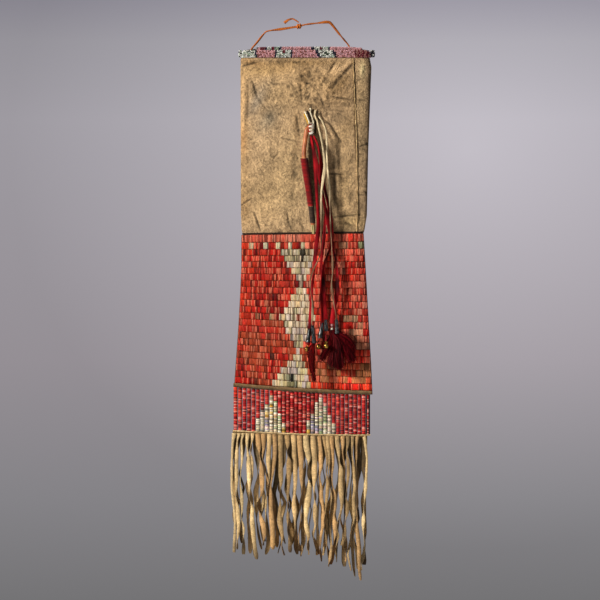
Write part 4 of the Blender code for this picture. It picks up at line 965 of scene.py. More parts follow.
def hide_relief(x, z, front):
    """Height of the folds, puckers and small hollows over the smooth hide, in metres, and how
    much of it lies in sharp folds."""
    lines = np.zeros_like(x)
    for start, end, width, rise in FOLDS + random_creases() if front else []:
        (x0, z0), (x1, z1) = spot(*start), spot(*end)
        along = ((x - x0) * (x1 - x0) + (z - z0) * (z1 - z0)) / ((x1 - x0) ** 2 + (z1 - z0) ** 2)
        taper = 1 - 0.5 * np.abs(2 * np.clip(along, 0, 1) - 1) ** 3
        along = np.clip(along, 0, 1)
        away = np.hypot(x - x0 - (x1 - x0) * along, z - z0 - (z1 - z0) * along)
        narrow = FOLD_WIDTH * width * 0.001 if rise < 0 else 0.8 * width * 0.001
        lines += rise * 0.001 * taper * np.exp(-((away / narrow) ** 2))
    depth = 0.0 if front else 7.0

    def rough(size_x, size_z, offset):
        return np.array(
            [
                [wobble(a / size_x, depth + offset, b / size_z) for a, b in zip(p, q)]
                for p, q in zip(x, z)
            ]
        )

    swell = 0.0009 * rough(0.034, 0.048, 0.0) + 0.0006 * rough(0.015, 0.017, 0.3)
    swell += 0.0004 * rough(0.0065, 0.0065, 0.6)
    crumple = 0.0011 * (0.25 - np.abs(rough(0.010, 0.010, 1.3))) + 0.0006 * rough(0.004, 0.004, 1.9)
    (px, py), (reach_x, reach_y) = CRUMPLE
    mid_x, mid_z = spot(px, py)
    zone = np.exp(
        -(((x - mid_x) / (reach_x * PIXEL)) ** 2) - ((z - mid_z) / (reach_y * PIXEL)) ** 2
    )
    foot = np.exp(-(((z - HIDE_FOOT_Z) / 0.013) ** 2))
    calm = np.exp(-(((z - CALM_Z) / 0.010) ** 2))
    pucker = 0.0013 * rough(0.0055, 0.03, 3.0) * (foot + 0.7 * calm)
    height = lines + swell + pucker + crumple * (0.35 + 1.1 * zone + 0.5 * foot) * float(front)
    held = bring(CALM_Z - z, 0, 0.005, 0, 1)
    if front:
        held = held * bring(z - HIDE_FOOT_Z, -0.002, 0.004, 0, 1)
    return height * held, (lines + crumple * (zone + 0.3)) * held


def hide_colour(x, z, height, lines):
    """Colour of the hide at each point: its fields of stain and of painted light, soil and painted
    shade in the hollows, and wear and painted highlight on the ridges.
    """
    colour = np.broadcast_to(linear(HIDE_BASE), (*x.shape, 4)).copy()
    for (px, py), (reach_x, reach_y), lean, text, strength in STAINS_AND_PAINTED_LIGHT:
        x0, z0 = spot(px, py)
        lean = math.radians(lean)
        across = (x - x0) * math.cos(lean) + (z - z0) * math.sin(lean)
        up = (z - z0) * math.cos(lean) - (x - x0) * math.sin(lean)
        away = (across / (reach_x * PIXEL)) ** 2 + (up / (reach_y * PIXEL)) ** 2
        weight = (strength * np.exp(-0.7 * away))[..., None]
        colour = mix(colour, linear(text), weight)
    # Darker in the fold valleys and low hollows and lighter on the ridges: partly soil and wear,
    # partly painted shade and painted highlight.
    soil = bring(lines, -0.0011, -0.0001, 0.34, 1.0) * bring(height, -0.0014, 0.0, 0.78, 1.0)
    rubbed = bring(lines, 0.0001, 0.0011, 1.0, 1.26)
    colour[..., :3] *= (soil * rubbed)[..., None]
    return colour


def spread_shares(count):
    """Shares from side to side, closer together near the edges."""
    even = np.linspace(-1, 1, count + 1)
    return 0.45 * even + 0.55 * np.sin(even * math.pi / 2)


def hide_piece():
    """One tube of hide with thick lips, closed at its foot behind the panel."""
    front, back = spread_shares(HIDE_FRONT), spread_shares(HIDE_BACK)[::-1]
    shares = np.concatenate([front[:-1], back[:-1]])
    sides = np.concatenate([-np.ones(HIDE_FRONT), np.ones(HIDE_BACK)])
    sides[0], sides[HIDE_FRONT] = -1, -1
    lip = lip_height(shares, sides)
    levels = np.concatenate(
        [
            np.linspace(CALM_Z, HIDE_FOOT_Z, HIDE_DOWN),
            np.linspace(HIDE_FOOT_Z, FOOT_Z + 0.006, HIDE_BELOW)[1:],
        ]
    )
    feet = panel_foot(shares) + POUCH_LIFT
    rows = [lip, (lip * 2 + CALM_Z) / 3, (lip + CALM_Z * 2) / 3]
    for level in levels:
        below = max(0.0, (HIDE_FOOT_Z - level) / (HIDE_FOOT_Z - levels[-1]))
        rows.append(level + (feet - levels[-1]) * below)
    z = np.array(rows)
    shares_grid = np.broadcast_to(shares, z.shape)
    sides_grid = np.broadcast_to(sides, z.shape)
    base, _ = skin(shares_grid, z, 0, sides_grid)
    corner = 0.0022 * np.exp(-(((z - (LIP_Z - 0.0105)) / 0.0065) ** 2)) * (shares_grid < 0)
    corner = corner * np.abs(shares_grid) ** 12
    before, behind = slice(0, HIDE_FRONT), slice(HIDE_FRONT, None)
    relief, lines = (
        np.concatenate(pair, axis=1)
        for pair in zip(
            hide_relief(base[:, before, 0], z[:, before], True),
            hide_relief(base[:, behind, 0], z[:, behind], False),
        )
    )
    relief = relief * (1 - np.abs(shares_grid) ** 30)
    points, _ = skin(shares_grid, z, relief, sides_grid)
    points[..., 0] -= corner
    gather = Gather()
    colour = hide_colour(base[..., 0], z, relief, lines)
    lane = np.where(sides_grid < 0, FRONT_LANE, BACK_LANE)
    colour[z > lip - lane + 0.0006] = linear(PAINTED_SHADE_UNDER_BEADS)
    colour[:, behind] = mix(colour[:, behind], linear(BACK_HIDE), 0.65)
    outer = gather.grid(points, colour, caps=False)
    steps = np.linspace(0, 1, HIDE_INSIDE)
    inner_z = np.array([lip + (feet + HIDE_WALL - lip) * step for step in steps])
    centre, half_width, half_depth = section(inner_z)
    inner_points = np.stack(
        [
            centre + (half_width - HIDE_WALL) * shares,
            sides * (half_depth - HIDE_WALL) * bulge_of(shares),
            inner_z,
        ],
        -1,
    )
    inner = gather.grid(inner_points, linear(INSIDE_HIDE), caps=False)
    wide = len(shares)
    for j in range(wide):
        k = (j + 1) % wide
        gather.faces.append((outer + j, inner + j, inner + k, outer + k))
    for start, height in ((outer, len(z)), (inner, len(inner_z))):
        last = start + (height - 1) * wide
        gather.faces.append(tuple(range(last, last + wide)))
    return gather.piece("hide_bag", HIDE, "hide", stands_for=["hide_pouch"])


# Place of the side seam by pixel: height and place across
SEAM = (
    (57.6, 353.0), (75, 353.5), (90, 354.3), (110, 355.2), (130, 356.2), (150, 356.7),
    (170, 356.9), (190, 357.2), (210, 357.3), (234.5, 356.6),
)


def side_seam():
    """The narrow welt sewn in the side seam, pale where it is rubbed."""
    chance = random.Random(8)
    ys, xs = np.array(SEAM).T
    y = np.linspace(ys[0], ys[-1], 150)
    x = np.interp(y, ys, xs)
    rows, tints = [], []
    pale, dark = linear("#C9AC7C"), linear("#7E6440")
    for px, py in zip(x, y):
        across = wobble(py / 6.0, 2.0) * 0.45 + wobble(py / 2.0, 5.0) * 0.25
        place_x, z = spot(px + across, py)
        centre, _ = skin(share_at(place_x, z), z, 0.0006)
        half = 0.00062 * (1 + 0.5 * wobble(py / 3.1, 7.0))
        rows.append(
            [
                centre + np.array((math.cos(a) * half, math.sin(a) * 0.0009, 0.0))
                for a in (2 * math.pi * k / 8 for k in range(8))
            ]
        )
        share = min(1.0, max(0.0, 0.35 + 0.9 * wobble(py / 5.0, 11.0)))
        tints.append(vary(chance, mix(pale, dark, share), 0.12))
    one_piece(
        rows, np.array(tints), "side_seam_piping", SEAM_WELT, "hide", stands_for=["side_seam_welt"]
    )


# Beadwork of the mouth

BEAD_COLOURS = {
    "pink": "#BC8A90",
    "rose": "#865450",
    "white": "#C2C4BE",
    "green": "#8A9A88",
    "navy": "#17142C",
    "red": "#5E1020",
    "black": "#17151A",
    "dark_green": "#2E3A2C",
}
# Stretches of colour by pixel, from the left: lower lane on the front lip, upper lane behind
LOWER_LANE = (
    (238.0, 255.4, "white"), (255.4, 257.0, "navy"), (257.0, 275.0, "pink"),
    (275.0, 276.8, "navy"), (276.8, 290.6, "white"), (290.6, 292.6, "navy"),
    (292.6, 316.4, "pink"), (316.4, 319.4, "navy"), (319.4, 333.3, "white"),
    (333.3, 335.6, "navy"), (335.6, 354.8, "pink"), (354.8, 369.0, "striped"),
)
UPPER_LANE = (
    (250.0, 257.0, "white"), (257.0, 261.0, "pink"), (261.0, 265.4, "red"), (265.4, 267.0, "navy"),
    (267.0, 271.6, "white"), (271.6, 274.0, "red"), (274.0, 279.4, "green"),
    (279.4, 281.6, "navy"), (281.6, 312.0, "pink"), (312.0, 313.6, "navy"),
    (313.6, 319.6, "white"), (319.6, 322.0, "red"), (322.0, 327.8, "white"),
    (327.8, 329.5, "navy"), (329.5, 364.0, "pink"),
)


def bead_colour(lane, pixel, step, steps, chance):
    """Colour of one bead, by its place along a lane and across it."""
    share = step / max(1, steps - 1)
    if lane is LOWER_LANE:
        pixel += (share - 0.5) * (3.0 if 314 < pixel < 337 else 0.0)
        if 282.4 < pixel < 285.8 and 0.45 < share < 0.95:
            return "red"
        if 324.8 < pixel < 328.0 and 0.25 < share < 0.7:
            return "dark_green"
    for start, end, name in lane:
        if start <= pixel < end:
            if name == "striped":
                return "red" if int(pixel * 0.72) % 3 == 0 or chance.random() < 0.12 else "rose"
            if name == "pink" and chance.random() < 0.22:
                return "rose"
            if name == "white" and chance.random() < 0.2:
                return "green"
            return name
    return "pink"


def bead_rows(lane, side, low, high, line):
    """Rows of beads laid over a lip. line holds distance off the hide and rise over the lip."""
    chance = random.Random(7 if side < 0 else 8)
    line = np.array(line)
    reach = lengths(np.column_stack([line, np.zeros(len(line))]))
    count = round(reach[-1] / BEAD_HEIGHT)
    places = (np.arange(count) + 0.5) * reach[-1] / count
    out, rise = (np.interp(places, reach, line[:, i]) for i in (0, 1))
    slope = np.arctan2(
        *(
            np.interp(places + 0.0004, reach, way) - np.interp(places - 0.0004, reach, way)
            for way in line.T
        )
    )
    shares = np.linspace(low, high, 4000)
    points, _ = skin(shares, LIP_Z, 0.001, side)
    around = lengths(points)
    rows = int(around[-1] / BEAD_WIDTH)
    spots = []
    for row in range(rows):
        share = float(np.interp((row + 0.5) * around[-1] / rows, around, shares))
        lip = float(lip_height(share, side))
        for step in range(count):
            place, turn = skin(share, lip + rise[step], out[step], side)
            place = place + np.array([chance.gauss(0, 0.00005) for _ in range(3)])
            pixel = ORIGIN_X + float(place[0]) / PIXEL
            name = bead_colour(lane, pixel, step, count, chance)
            tint = vary(chance, linear(BEAD_COLOURS[name]), 0.20)
            # Some white and green beads are painted near black, as the shade in the gaps between
            # the beads.
            if name in ("white", "green") and chance.random() < 0.22:
                tint[:3] *= 0.28
            size = (BEAD_WIDTH * 0.94, BEAD_WIDTH * 0.94, BEAD_HEIGHT * 0.96)
            spots.append((place, (slope[step], chance.gauss(0, 0.06), float(turn)), size, tint))
    return spots


def bead_knob(bead, node, slot, around, names):
    """A knob of beads round a core, with so many of them in each of its five rings."""
    low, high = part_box(node)
    centre, radius = (low + high) / 2, (high.x - low.x) / 2
    chance, core = random.Random(around), random.Random(3)
    spots = []
    size = (BEAD_WIDTH, BEAD_WIDTH, BEAD_HEIGHT * 1.1)
    for level in range(5):
        rise = (level - 2) * BEAD_WIDTH * 0.98
        ring = (radius - BEAD_WIDTH / 2) * (0.8 if level in (0, 4) else 1.0)
        for k in range(around):
            turn = 2 * math.pi * (k + 0.5 * (level % 2)) / around
            place = centre + Vector((ring * math.cos(turn), ring * math.sin(turn), rise))
            tint = vary(chance, linear(BEAD_COLOURS[names[(k + level * 2) % 5]]), 0.15)
            spots.append((place, (math.pi / 2, 0, turn), size, tint))
    size = (radius * 1.5, radius * 1.5, BEAD_WIDTH * 1.1)
    for level in range(5):
        place = centre + Vector((0, 0, (level - 2) * BEAD_WIDTH))
        tint = vary(core, linear(BEAD_COLOURS["black"]), 0.1)
        spots.append((place, (0, 0, 0), size, tint))
    copies(node.replace("bead_knob", "knob_beads"), bead, spots, GLASS, slot, [node])


def bead_work():
    """The beads of both lips and of the knobs at the ends of the mouth."""
    profile = ((0.3, -0.5), (0.5, -0.2), (0.5, 0.2), (0.3, 0.5))
    bead = small_shape("bead_shape", turned((0, 0, 0), profile, 8))
    middle = GAP + BEAD_WIDTH / 2
    deep = -HIDE_WALL - GAP - BEAD_WIDTH / 2
    front = ((middle, -FRONT_LANE), (middle, -0.0014), (middle * 0.3, 0.0), (deep * 0.5, 0.0004))
    spots = bead_rows(LOWER_LANE, -1, -0.9995, 0.9995, front)
    copies("front_beads", bead, spots, GLASS, "pink_beads", ["front_bead_edging"])
    back = (
        (middle, -BACK_LANE), (middle, -0.0004), (middle * 0.3, 0.0012), (deep * 0.7, 0.0012),
        (deep, -0.0006), (deep, -BACK_LANE_INSIDE),
    )
    spots = bead_rows(UPPER_LANE, 1, -0.809, 0.90, back)
    copies("back_beads", bead, spots, GLASS, "pink_beads", ["back_bead_edging"])
    whites, blacks = ("white", "white", "white", "green", "black"), ("black", "navy", "black")
    bead_knob(bead, "left_bead_knob", "white_beads", 6, whites)
    bead_knob(bead, "right_bead_knob", "black_beads", 8, (*blacks, "white", "black"))
    bpy.data.objects.remove(bead)


# Quillwork

REDS = {
    "bright": "#BC1E12",
    "coral": "#BE3424",
    "salmon": "#C85844",
    "pale_salmon": "#CC7660",
    "deep": "#820C08",
    "brown_red": "#8E2818",
    "orange": "#C43218",
    "rust": "#A84226",
    "tan": "#A0643E",
}
WHITES = ("#CCB490", "#C2AC86", "#CAB6A0", "#BAAC88", "#D2BC9E", "#BEAA9C")
LAVENDER_WHITES = ("#C2AEA6", "#B6A69E", "#CCB48E", "#C6B68A", "#B8AA80", "#C8B498")
# Stretches of some lanes whose dye differs, by lane and pixel
ODD_BRICKS = (
    (1, 249.6, 254.2, "#C2B896"), (1, 263.2, 269.0, "#C8BE9E"), (1, 275.8, 280.6, "#C6BC98"),
    (1, 287.9, 292.6, "#CAC2A6"), (1, 300.6, 305.2, "#BCB290"), (1, 338.0, 347.0, "#A87458"),
    (1, 358.0, 362.5, "#8E8E68"), (2, 298.8, 305.4, "#4E4A38"), (12, 253.0, 261.0, "#8A5438"),
    (12, 271.4, 276.5, "#B09870"), (12, 296.5, 302.5, "#B85A3A"), (12, 343.0, 356.0, "#A88060"),
    (13, 356.0, 364.0, "#B47A5C"), (14, 350.0, 362.0, "#B88468"), (15, 268.0, 272.5, "#7A3420"),
    (15, 347.0, 364.0, "#B46A50"), (16, 350.0, 366.0, "#B27258"), (18, 272.0, 276.0, "#5A2418"),
    (21, 288.5, 294.5, "#8A866A"), (22, 287.5, 297.0, "#55583F"),
)


def red_mix(lane, x):
    """The reds of one part of the panel, with their weights."""
    if lane == 0:
        return (("coral", 4), ("salmon", 5), ("pale_salmon", 4))
    if lane == 22:
        if x > 0:
            return (("orange", 5), ("bright", 4))
        return (("deep", 3), ("bright", 4)) if x < -0.07 else (("rust", 5), ("orange", 2))
    if x < 0.0:
        if lane >= 13:
            if lane == 14 or (lane >= 20 and x < -0.075):
                return (("bright", 4), ("coral", 3), ("orange", 3))
            if x > -0.052 and lane > 17:
                return (("bright", 3), ("rust", 4), ("orange", 2))
            return (("rust", 8), ("coral", 2), ("orange", 2))
        if x < -0.072:
            return (("orange", 6), ("coral", 3), ("salmon", 1))
        if lane >= 9 and x < -0.03:
            return (("deep", 2), ("brown_red", 2), ("bright", 5), ("coral", 1))
        return (("bright", 7), ("coral", 4), ("orange", 3), ("deep", 1))
    if lane >= 19:
        return (("rust", 6), ("tan", 4), ("coral", 2), ("brown_red", 1))
    if lane >= 12:
        return (("coral", 5), ("bright", 2), ("salmon", 4), ("brown_red", 1))
    return (("salmon", 4), ("coral", 5), ("pale_salmon", 1), ("brown_red", 2), ("bright", 1))


def in_figure(lane, x):
    """Whether a place of the panel lies in its white figure."""
    if lane < PLAIN_LANES:
        return False
    low, high = FIGURE[lane - PLAIN_LANES]
    return low < x < high


def brick_colour(lane, x, chance):
    """Colour of one brick of quills, by lane and place. Bricks side by side often share a dye."""
    pixel = ORIGIN_X + x / PIXEL
    for odd_lane, start, end, text in ODD_BRICKS:
        if lane == odd_lane and start < pixel < end:
            return linear(text)
    if in_figure(lane, x):
        return linear(chance.choice(LAVENDER_WHITES if lane > 14 else WHITES))
    names, weights = zip(*red_mix(lane, x))
    drift = 0.5 + 0.9 * wobble(x / 0.026, lane * 1.37, 2.0)
    drift = min(0.999, max(0.0, drift + chance.gauss(0, 0.10)))
    total, reached = sum(weights) * drift, 0
    for name, weight in zip(names, weights):
        reached += weight
        if total < reached:
            break
    return linear(REDS[name])


def painted_light_on_panel(lane, x, is_white):
    """How much lighter or darker than its dye one place of the panel is painted, as painted light
    and shade: darker at the left and in the upper white, lighter at the right, and most where the
    laces' shadow falls.
    """
    if is_white:
        return 0.80 if lane < 8 else 1.12
    if x < 0.0:
        return 0.90
    return 1.18 + 0.6 * float(bring(lane, 14, 20, 0, 1)) * float(bring(x, 0.03, 0.06, 0, 1))


def bricks(start, end, offset, chance):
    """Splits one stretch of a lane into bricks. offset makes its first brick a half one."""
    length = end - start
    count = max(1, round(length / BRICK_WIDTH - offset / 2))
    edges = [start]
    if offset and length > BRICK_WIDTH * 1.3:
        edges.append(start + BRICK_WIDTH / 2)
    first = edges[-1]
    for i in range(1, count + 1):
        edges.append(first + (end - first) * i / count)
    jitter = [0.0, *(chance.uniform(-0.0004, 0.0004) for _ in edges[1:-1]), 0.0]
    edges = [edge + shift for edge, shift in zip(edges, jitter)]
    return list(zip(edges, edges[1:]))


def lane_parts(lane, left, right):
    """The stretches of one lane, each of which starts with a brick of its own."""
    if lane == 1:
        marks = []
        for _, low, high, _ in ODD_BRICKS[:5]:
            marks += [spot(low + 0.3, 0)[0], spot(high - 0.3, 0)[0]]
        return list(zip([left, *marks], [*marks, right]))
    if lane < PLAIN_LANES:
        return [(left, right)]
    low, high = FIGURE[lane - PLAIN_LANES]
    return [(left, low), (low, high), (high, right)]


def dark_figures(chance):
    """Small dark figures in the white, a stem and a square near its top and near its foot: place
    and size in pixels, and colour."""
    made = []
    for px, line, wide, high, text in (
        (302.2, 3.35, 2.0, 8.0, "#241F18"),
        (302.2, 2.5, 5.4, 5.0, "#2E2A1E"),
        (292.0, 21.45, 2.4, 8.0, "#14120E"),
        (291.0, 22.4, 7.4, 5.0, "#6A6648"),
    ):
        x, z = spot(px, 0)[0], float(lane_height(line, 0.0))
        for k in (-0.5, 0.5):
            place, turn = skin(share_at(x + k * wide * PIXEL / 2, z), z, QUILL_OUT + 0.0011)
            size = (wide * PIXEL / 2, 0.0013, high * PIXEL)
            made.append((place, (0, 0, float(turn)), size, vary(chance, linear(text), 0.2)))
    return made


def panel_quills():
    """Quills folded back and forth between two rows of thread, in lanes that read as bricks."""
    heights = ((-0.5, 0.10), (-0.43, 0.66), (-0.18, 1.0), (0.2, 0.96), (0.43, 0.70), (0.5, 0.10))
    outline = ((-0.5, 0.40), (-0.2, 0.92), (0.08, 1.0), (0.5, 0.40), (0.5, 0), (-0.5, 0))
    quill = small_shape(
        "folded_quill_shape", [[(x, -puff * y, z) for x, y in outline] for z, puff in heights]
    )
    chance = random.Random(19)
    red, white = [], []
    for lane in range(LANES):
        middle = float(lane_height(lane + 0.5, 0.0))
        centre, half_width, _ = (float(v) for v in section(middle))
        left, right = centre - half_width * QUILL_EDGE, centre + half_width * QUILL_EDGE
        for part, (start, end) in enumerate(lane_parts(lane, left, right)):
            offset = (lane + part) % 2 if lane != 1 else 0
            for left_end, right_end in bricks(start, end, offset, chance):
                x = (left_end + right_end) / 2
                colour = brick_colour(lane, x, chance)
                count = max(2, round((right_end - left_end) / BRICK_WIDTH * QUILLS_IN_A_BRICK))
                width = (right_end - left_end - QUILL_SEAM) / count
                is_white = in_figure(lane, x)
                level = (1 + chance.uniform(-0.26, 0.20)) * painted_light_on_panel(lane, x, is_white)
                for i in range(count):
                    at = left_end + QUILL_SEAM / 2 + (i + 0.5) * width
                    share = (at - centre) / half_width
                    top, foot = float(lane_height(lane, share)), float(lane_height(lane + 1, share))
                    bow = 1 - ((i + 0.5) / count * 2 - 1) ** 2
                    off = QUILL_OUT + 0.00025 * bow + chance.uniform(-0.0001, 0.0001)
                    level_z = (top + foot) / 2 + chance.uniform(-0.0002, 0.0002)
                    place, turn = skin(share, level_z, off)
                    tint = vary(chance, colour * level, 0.22)
                    roll = chance.random()
                    if roll < SHADED_QUILLS:
                        tint = tint * 0.38
                    elif roll > BRIGHT_FROM:
                        pale = linear("#D8D2C0" if is_white else "#E08A6A")
                        tint = mix(tint, pale, 0.44)
                    tint[3] = 1.0
                    size = (
                        width * chance.uniform(0.97, 1.06) / max(0.60, math.cos(float(turn))),
                        QUILL_THICKNESS * chance.uniform(0.80, 1.0),
                        (top - foot) * chance.uniform(0.89, 0.97),
                    )
                    turns = (chance.gauss(0, 0.03), chance.gauss(0, 0.045), float(turn))
                    (white if is_white else red).append((place, turns, size, tint))
    copies("red_quill_lanes", quill, red, PANEL_QUILL, "red_quills", ["red_quillwork"])
    white += dark_figures(chance)
    copies("white_quill_lanes", quill, white, PANEL_QUILL, "white_quills", ["white_quillwork"])
    bpy.data.objects.remove(quill)


# Slats with yellow turns in their white: from and to, in millimetres over the foot, and how many
YELLOW_TURNS = {7: (20, 27, 0.8), 8: (20, 38, 0.6), 9: (14, 24, 0.5)}
WRAP_REDS = ("#AC2220", "#BC4034", "#8A0E0C", "#C05A4A", "#A0161A", "#8C1012")
WRAP_ORANGES = ("#BC3420", "#C25038", "#A01C10", "#B02E20")
WRAP_WHITES = ("#D2C8B0", "#C2B492", "#DAD2C0", "#ACA082")


def backing():
    """The hide sheet under the quills, drawn round both sides and run on behind the slats."""
    down = (0, 0.2, 0.4, 0.6, 0.8, 1)
    rows = []
    for share in spread_shares(80) * 0.9986:
        top, foot = float(panel_top(share)), float(panel_foot(share)) - STRIP_HEIGHT + GAP
        row = []
        for out, levels in ((BACKING_OUT, down), (BACKING_LIFT, down[::-1])):
            row += [skin(share, top + (foot - top) * level, out)[0] for level in levels]
        rows.append(row)
    # Its colour is painted dark, as the shade that shows in the gaps between the quills.
    one_piece(
        rows, linear("#5E2E1E"), "panel_backing_hide", PLAIN_HIDE, "hide",
        stands_for=["panel_backing"], smooth=60,
    )


def wrap_colour(slat, height, chance):
    """Colour of one turn of quill on a slat, by how far it lies over the slat's foot."""
    white_top = WHITE_HEIGHTS.get(slat, 0.0)
    if height < white_top:
        roll = chance.random()
        low, high, share = YELLOW_TURNS.get(slat, (0, 0, 0))
        if low < height * 1000 < high and roll < share:
            return linear(chance.choice(("#C08C34", "#BE9A48", "#A87C30")))
        if slat in (9, 10, 20, 21) and roll < 0.34:
            return linear(chance.choice(("#9BA878", "#A8B088", "#8C9A70")))
        if slat in (19, 20, 18, 7) and height < 0.024 and roll < 0.4:
            return linear(chance.choice(("#A898B4", "#8E86A0", "#7C7A90")))
        if slat in (11, 17) and height < 0.006:
            return linear("#BE9640")
        if slat in (17, 18) and roll < 0.25:
            return linear("#8A8468")
        return linear(chance.choice(WRAP_WHITES))
    if slat < 2 and height > 0.02:
        return linear(chance.choice(WRAP_ORANGES))
    names = WRAP_REDS if height > 0.018 or slat > 24 else WRAP_REDS[2:] + WRAP_REDS[:1]
    return linear(chance.choice(names))


def slat_wraps():
    """Turns of quill wound round each slat."""
    angles = np.linspace(0, 2 * math.pi, 10, endpoint=False) + math.pi / 10
    ring = [0.5 * squared(np.cos(angles), 0.9), 0.5 * np.sin(angles), np.zeros(10)]
    ring = np.stack(ring, -1)
    profile = ((0.84, -0.5), (1.0, 0.0), (0.84, 0.5))
    turn_shape = small_shape("quill_turn_shape", [ring * size + (0, 0, z) for size, z in profile])
    chance = random.Random(23)
    spots = []
    for slat in range(SLATS):
        x = slat_x(slat)
        top, foot = float(slat_top(x)) - 0.0002, float(slat_foot(x)) + 0.0002
        count = round((top - foot) / WRAP_PITCH)
        pitch = (top - foot) / count
        level = 1 + chance.uniform(-0.24, 0.14)
        for i in range(count):
            z = foot + (i + 0.5) * pitch
            tint = vary(chance, wrap_colour(slat, z - foot, chance) * level, 0.30)
            roll = chance.random()
            if roll < SHADED_TURNS:
                tint[:3] *= 0.32
            elif roll > BRIGHT_TURNS_FROM:
                tint = mix(tint, linear("#E4B0A4"), 0.45)
            place = (x + 0.00012 * math.sin(i * 0.9 + slat), float(belt_y(x, SLAT_OUT)), z)
            size = (
                (slat_x(slat + 1) - x) * chance.uniform(0.93, 0.99),
                SLAT_THICKNESS * chance.uniform(0.93, 1.02),
                pitch * 1.12,
            )
            spots.append((place, (chance.gauss(0, 0.05), chance.gauss(0.05, 0.05), 0), size, tint))
    white = [f"white_wrap_{slat + 1:02d}" for slat in WHITE_HEIGHTS]
    copies(
        "slat_quill_wraps", turn_shape, spots, WRAP_QUILL, "slat_quills", ["slat_band", *white]
    )
    bpy.data.objects.remove(turn_shape)


def across_strip(gather, left, right, top, foot, out, thickness, tint, wave=0.0, seed=0):
    """A strip across the bag with rounded edges and a slight wave."""
    angles = np.linspace(0, 2 * math.pi, 10, endpoint=False) + 0.3
    rows = []
    for value in np.linspace(left, right, 121):
        lift = wave * wobble(value / 0.012, seed)
        swell = wave * wobble(value / 0.005, seed + 5.0)
        high, low = float(top(value)) + lift, float(foot(value)) + lift
        middle, half = (high + low) / 2, (high - low) / 2
        near, far = float(belt_y(value, out + thickness + swell)), float(belt_y(value, out))
        deep = (near - far) / 2
        rows.append(
            [
                (
                    value,
                    (near + far) / 2 + deep * squared(np.cos(a), 0.6),
                    middle + half * squared(np.sin(a), 0.6),
                )
                for a in angles
            ]
        )
    gather.grid(rows, tint)


def strips():
    """The folded strip under the panel, and the rawhide that the slats are cut in."""
    right = SLAT_LEFT + SLATS * SLAT_PITCH
    gather = Gather()
    # The strip is painted lighter along its upper edge and darker along its lower edge, as painted
    # highlight and painted shade.
    rise = np.sin(np.linspace(0, 2 * math.pi, 10, endpoint=False) + 0.3)
    shade = np.interp(rise, (-0.9, 0.2, 0.9), (0.25, 1.0, 1.45))
    olive = linear("#6C5538") * shade[None, :, None]
    across_strip(
        gather, SLAT_LEFT, right + RAWHIDE, lambda x: strip_top(x) - 0.0001,
        lambda x: slat_top(x) + 0.0006, DIVIDER_OUT, DIVIDER_THICKNESS, olive, wave=0.0005,
    )
    gather.piece("folded_divider", FRINGE_SUEDE, "olive_hide", stands_for=["divider_strip"])
    gather = Gather()
    pale = linear("#B39A70")
    across_strip(gather, SLAT_LEFT, right, strip_top, slat_top, HEADER_OUT, RAWHIDE, pale)
    across_strip(
        gather, SLAT_LEFT, right, slat_foot, lambda x: slat_foot(x) - 0.0021, HEADER_OUT - 0.0002,
        RAWHIDE + 0.0006, linear("#C4AA7C"), wave=0.0006, seed=3.0,
    )
    # Behind the quill turns, each slat's rawhide is painted near black, as the shade in the gaps
    # between the slats.
    for slat in range(SLATS):
        x = slat_x(slat)
        y = float(belt_y(x, SLAT_OUT))
        path = np.array([(x, y + 0.0004, z) for z in np.linspace(slat_top(x), slat_foot(x), 3)])
        gather.grid(tube(path, SLAT_WIDTH * 0.52, 0.0004, sides=6, power=4), linear("#2E1410"))
    gather.piece("slat_rawhide", FRINGE_SUEDE, "hide")


# Fringe

SUEDES = ("#BE9E6E", "#CCAC7A", "#AE8E5C", "#B6986A", "#D2B684", "#A0845A", "#B89262")
TIPS = ("#4A3018", "#3A2A1A", "#6E4A26", "#8A6A3C", "#2E2016")
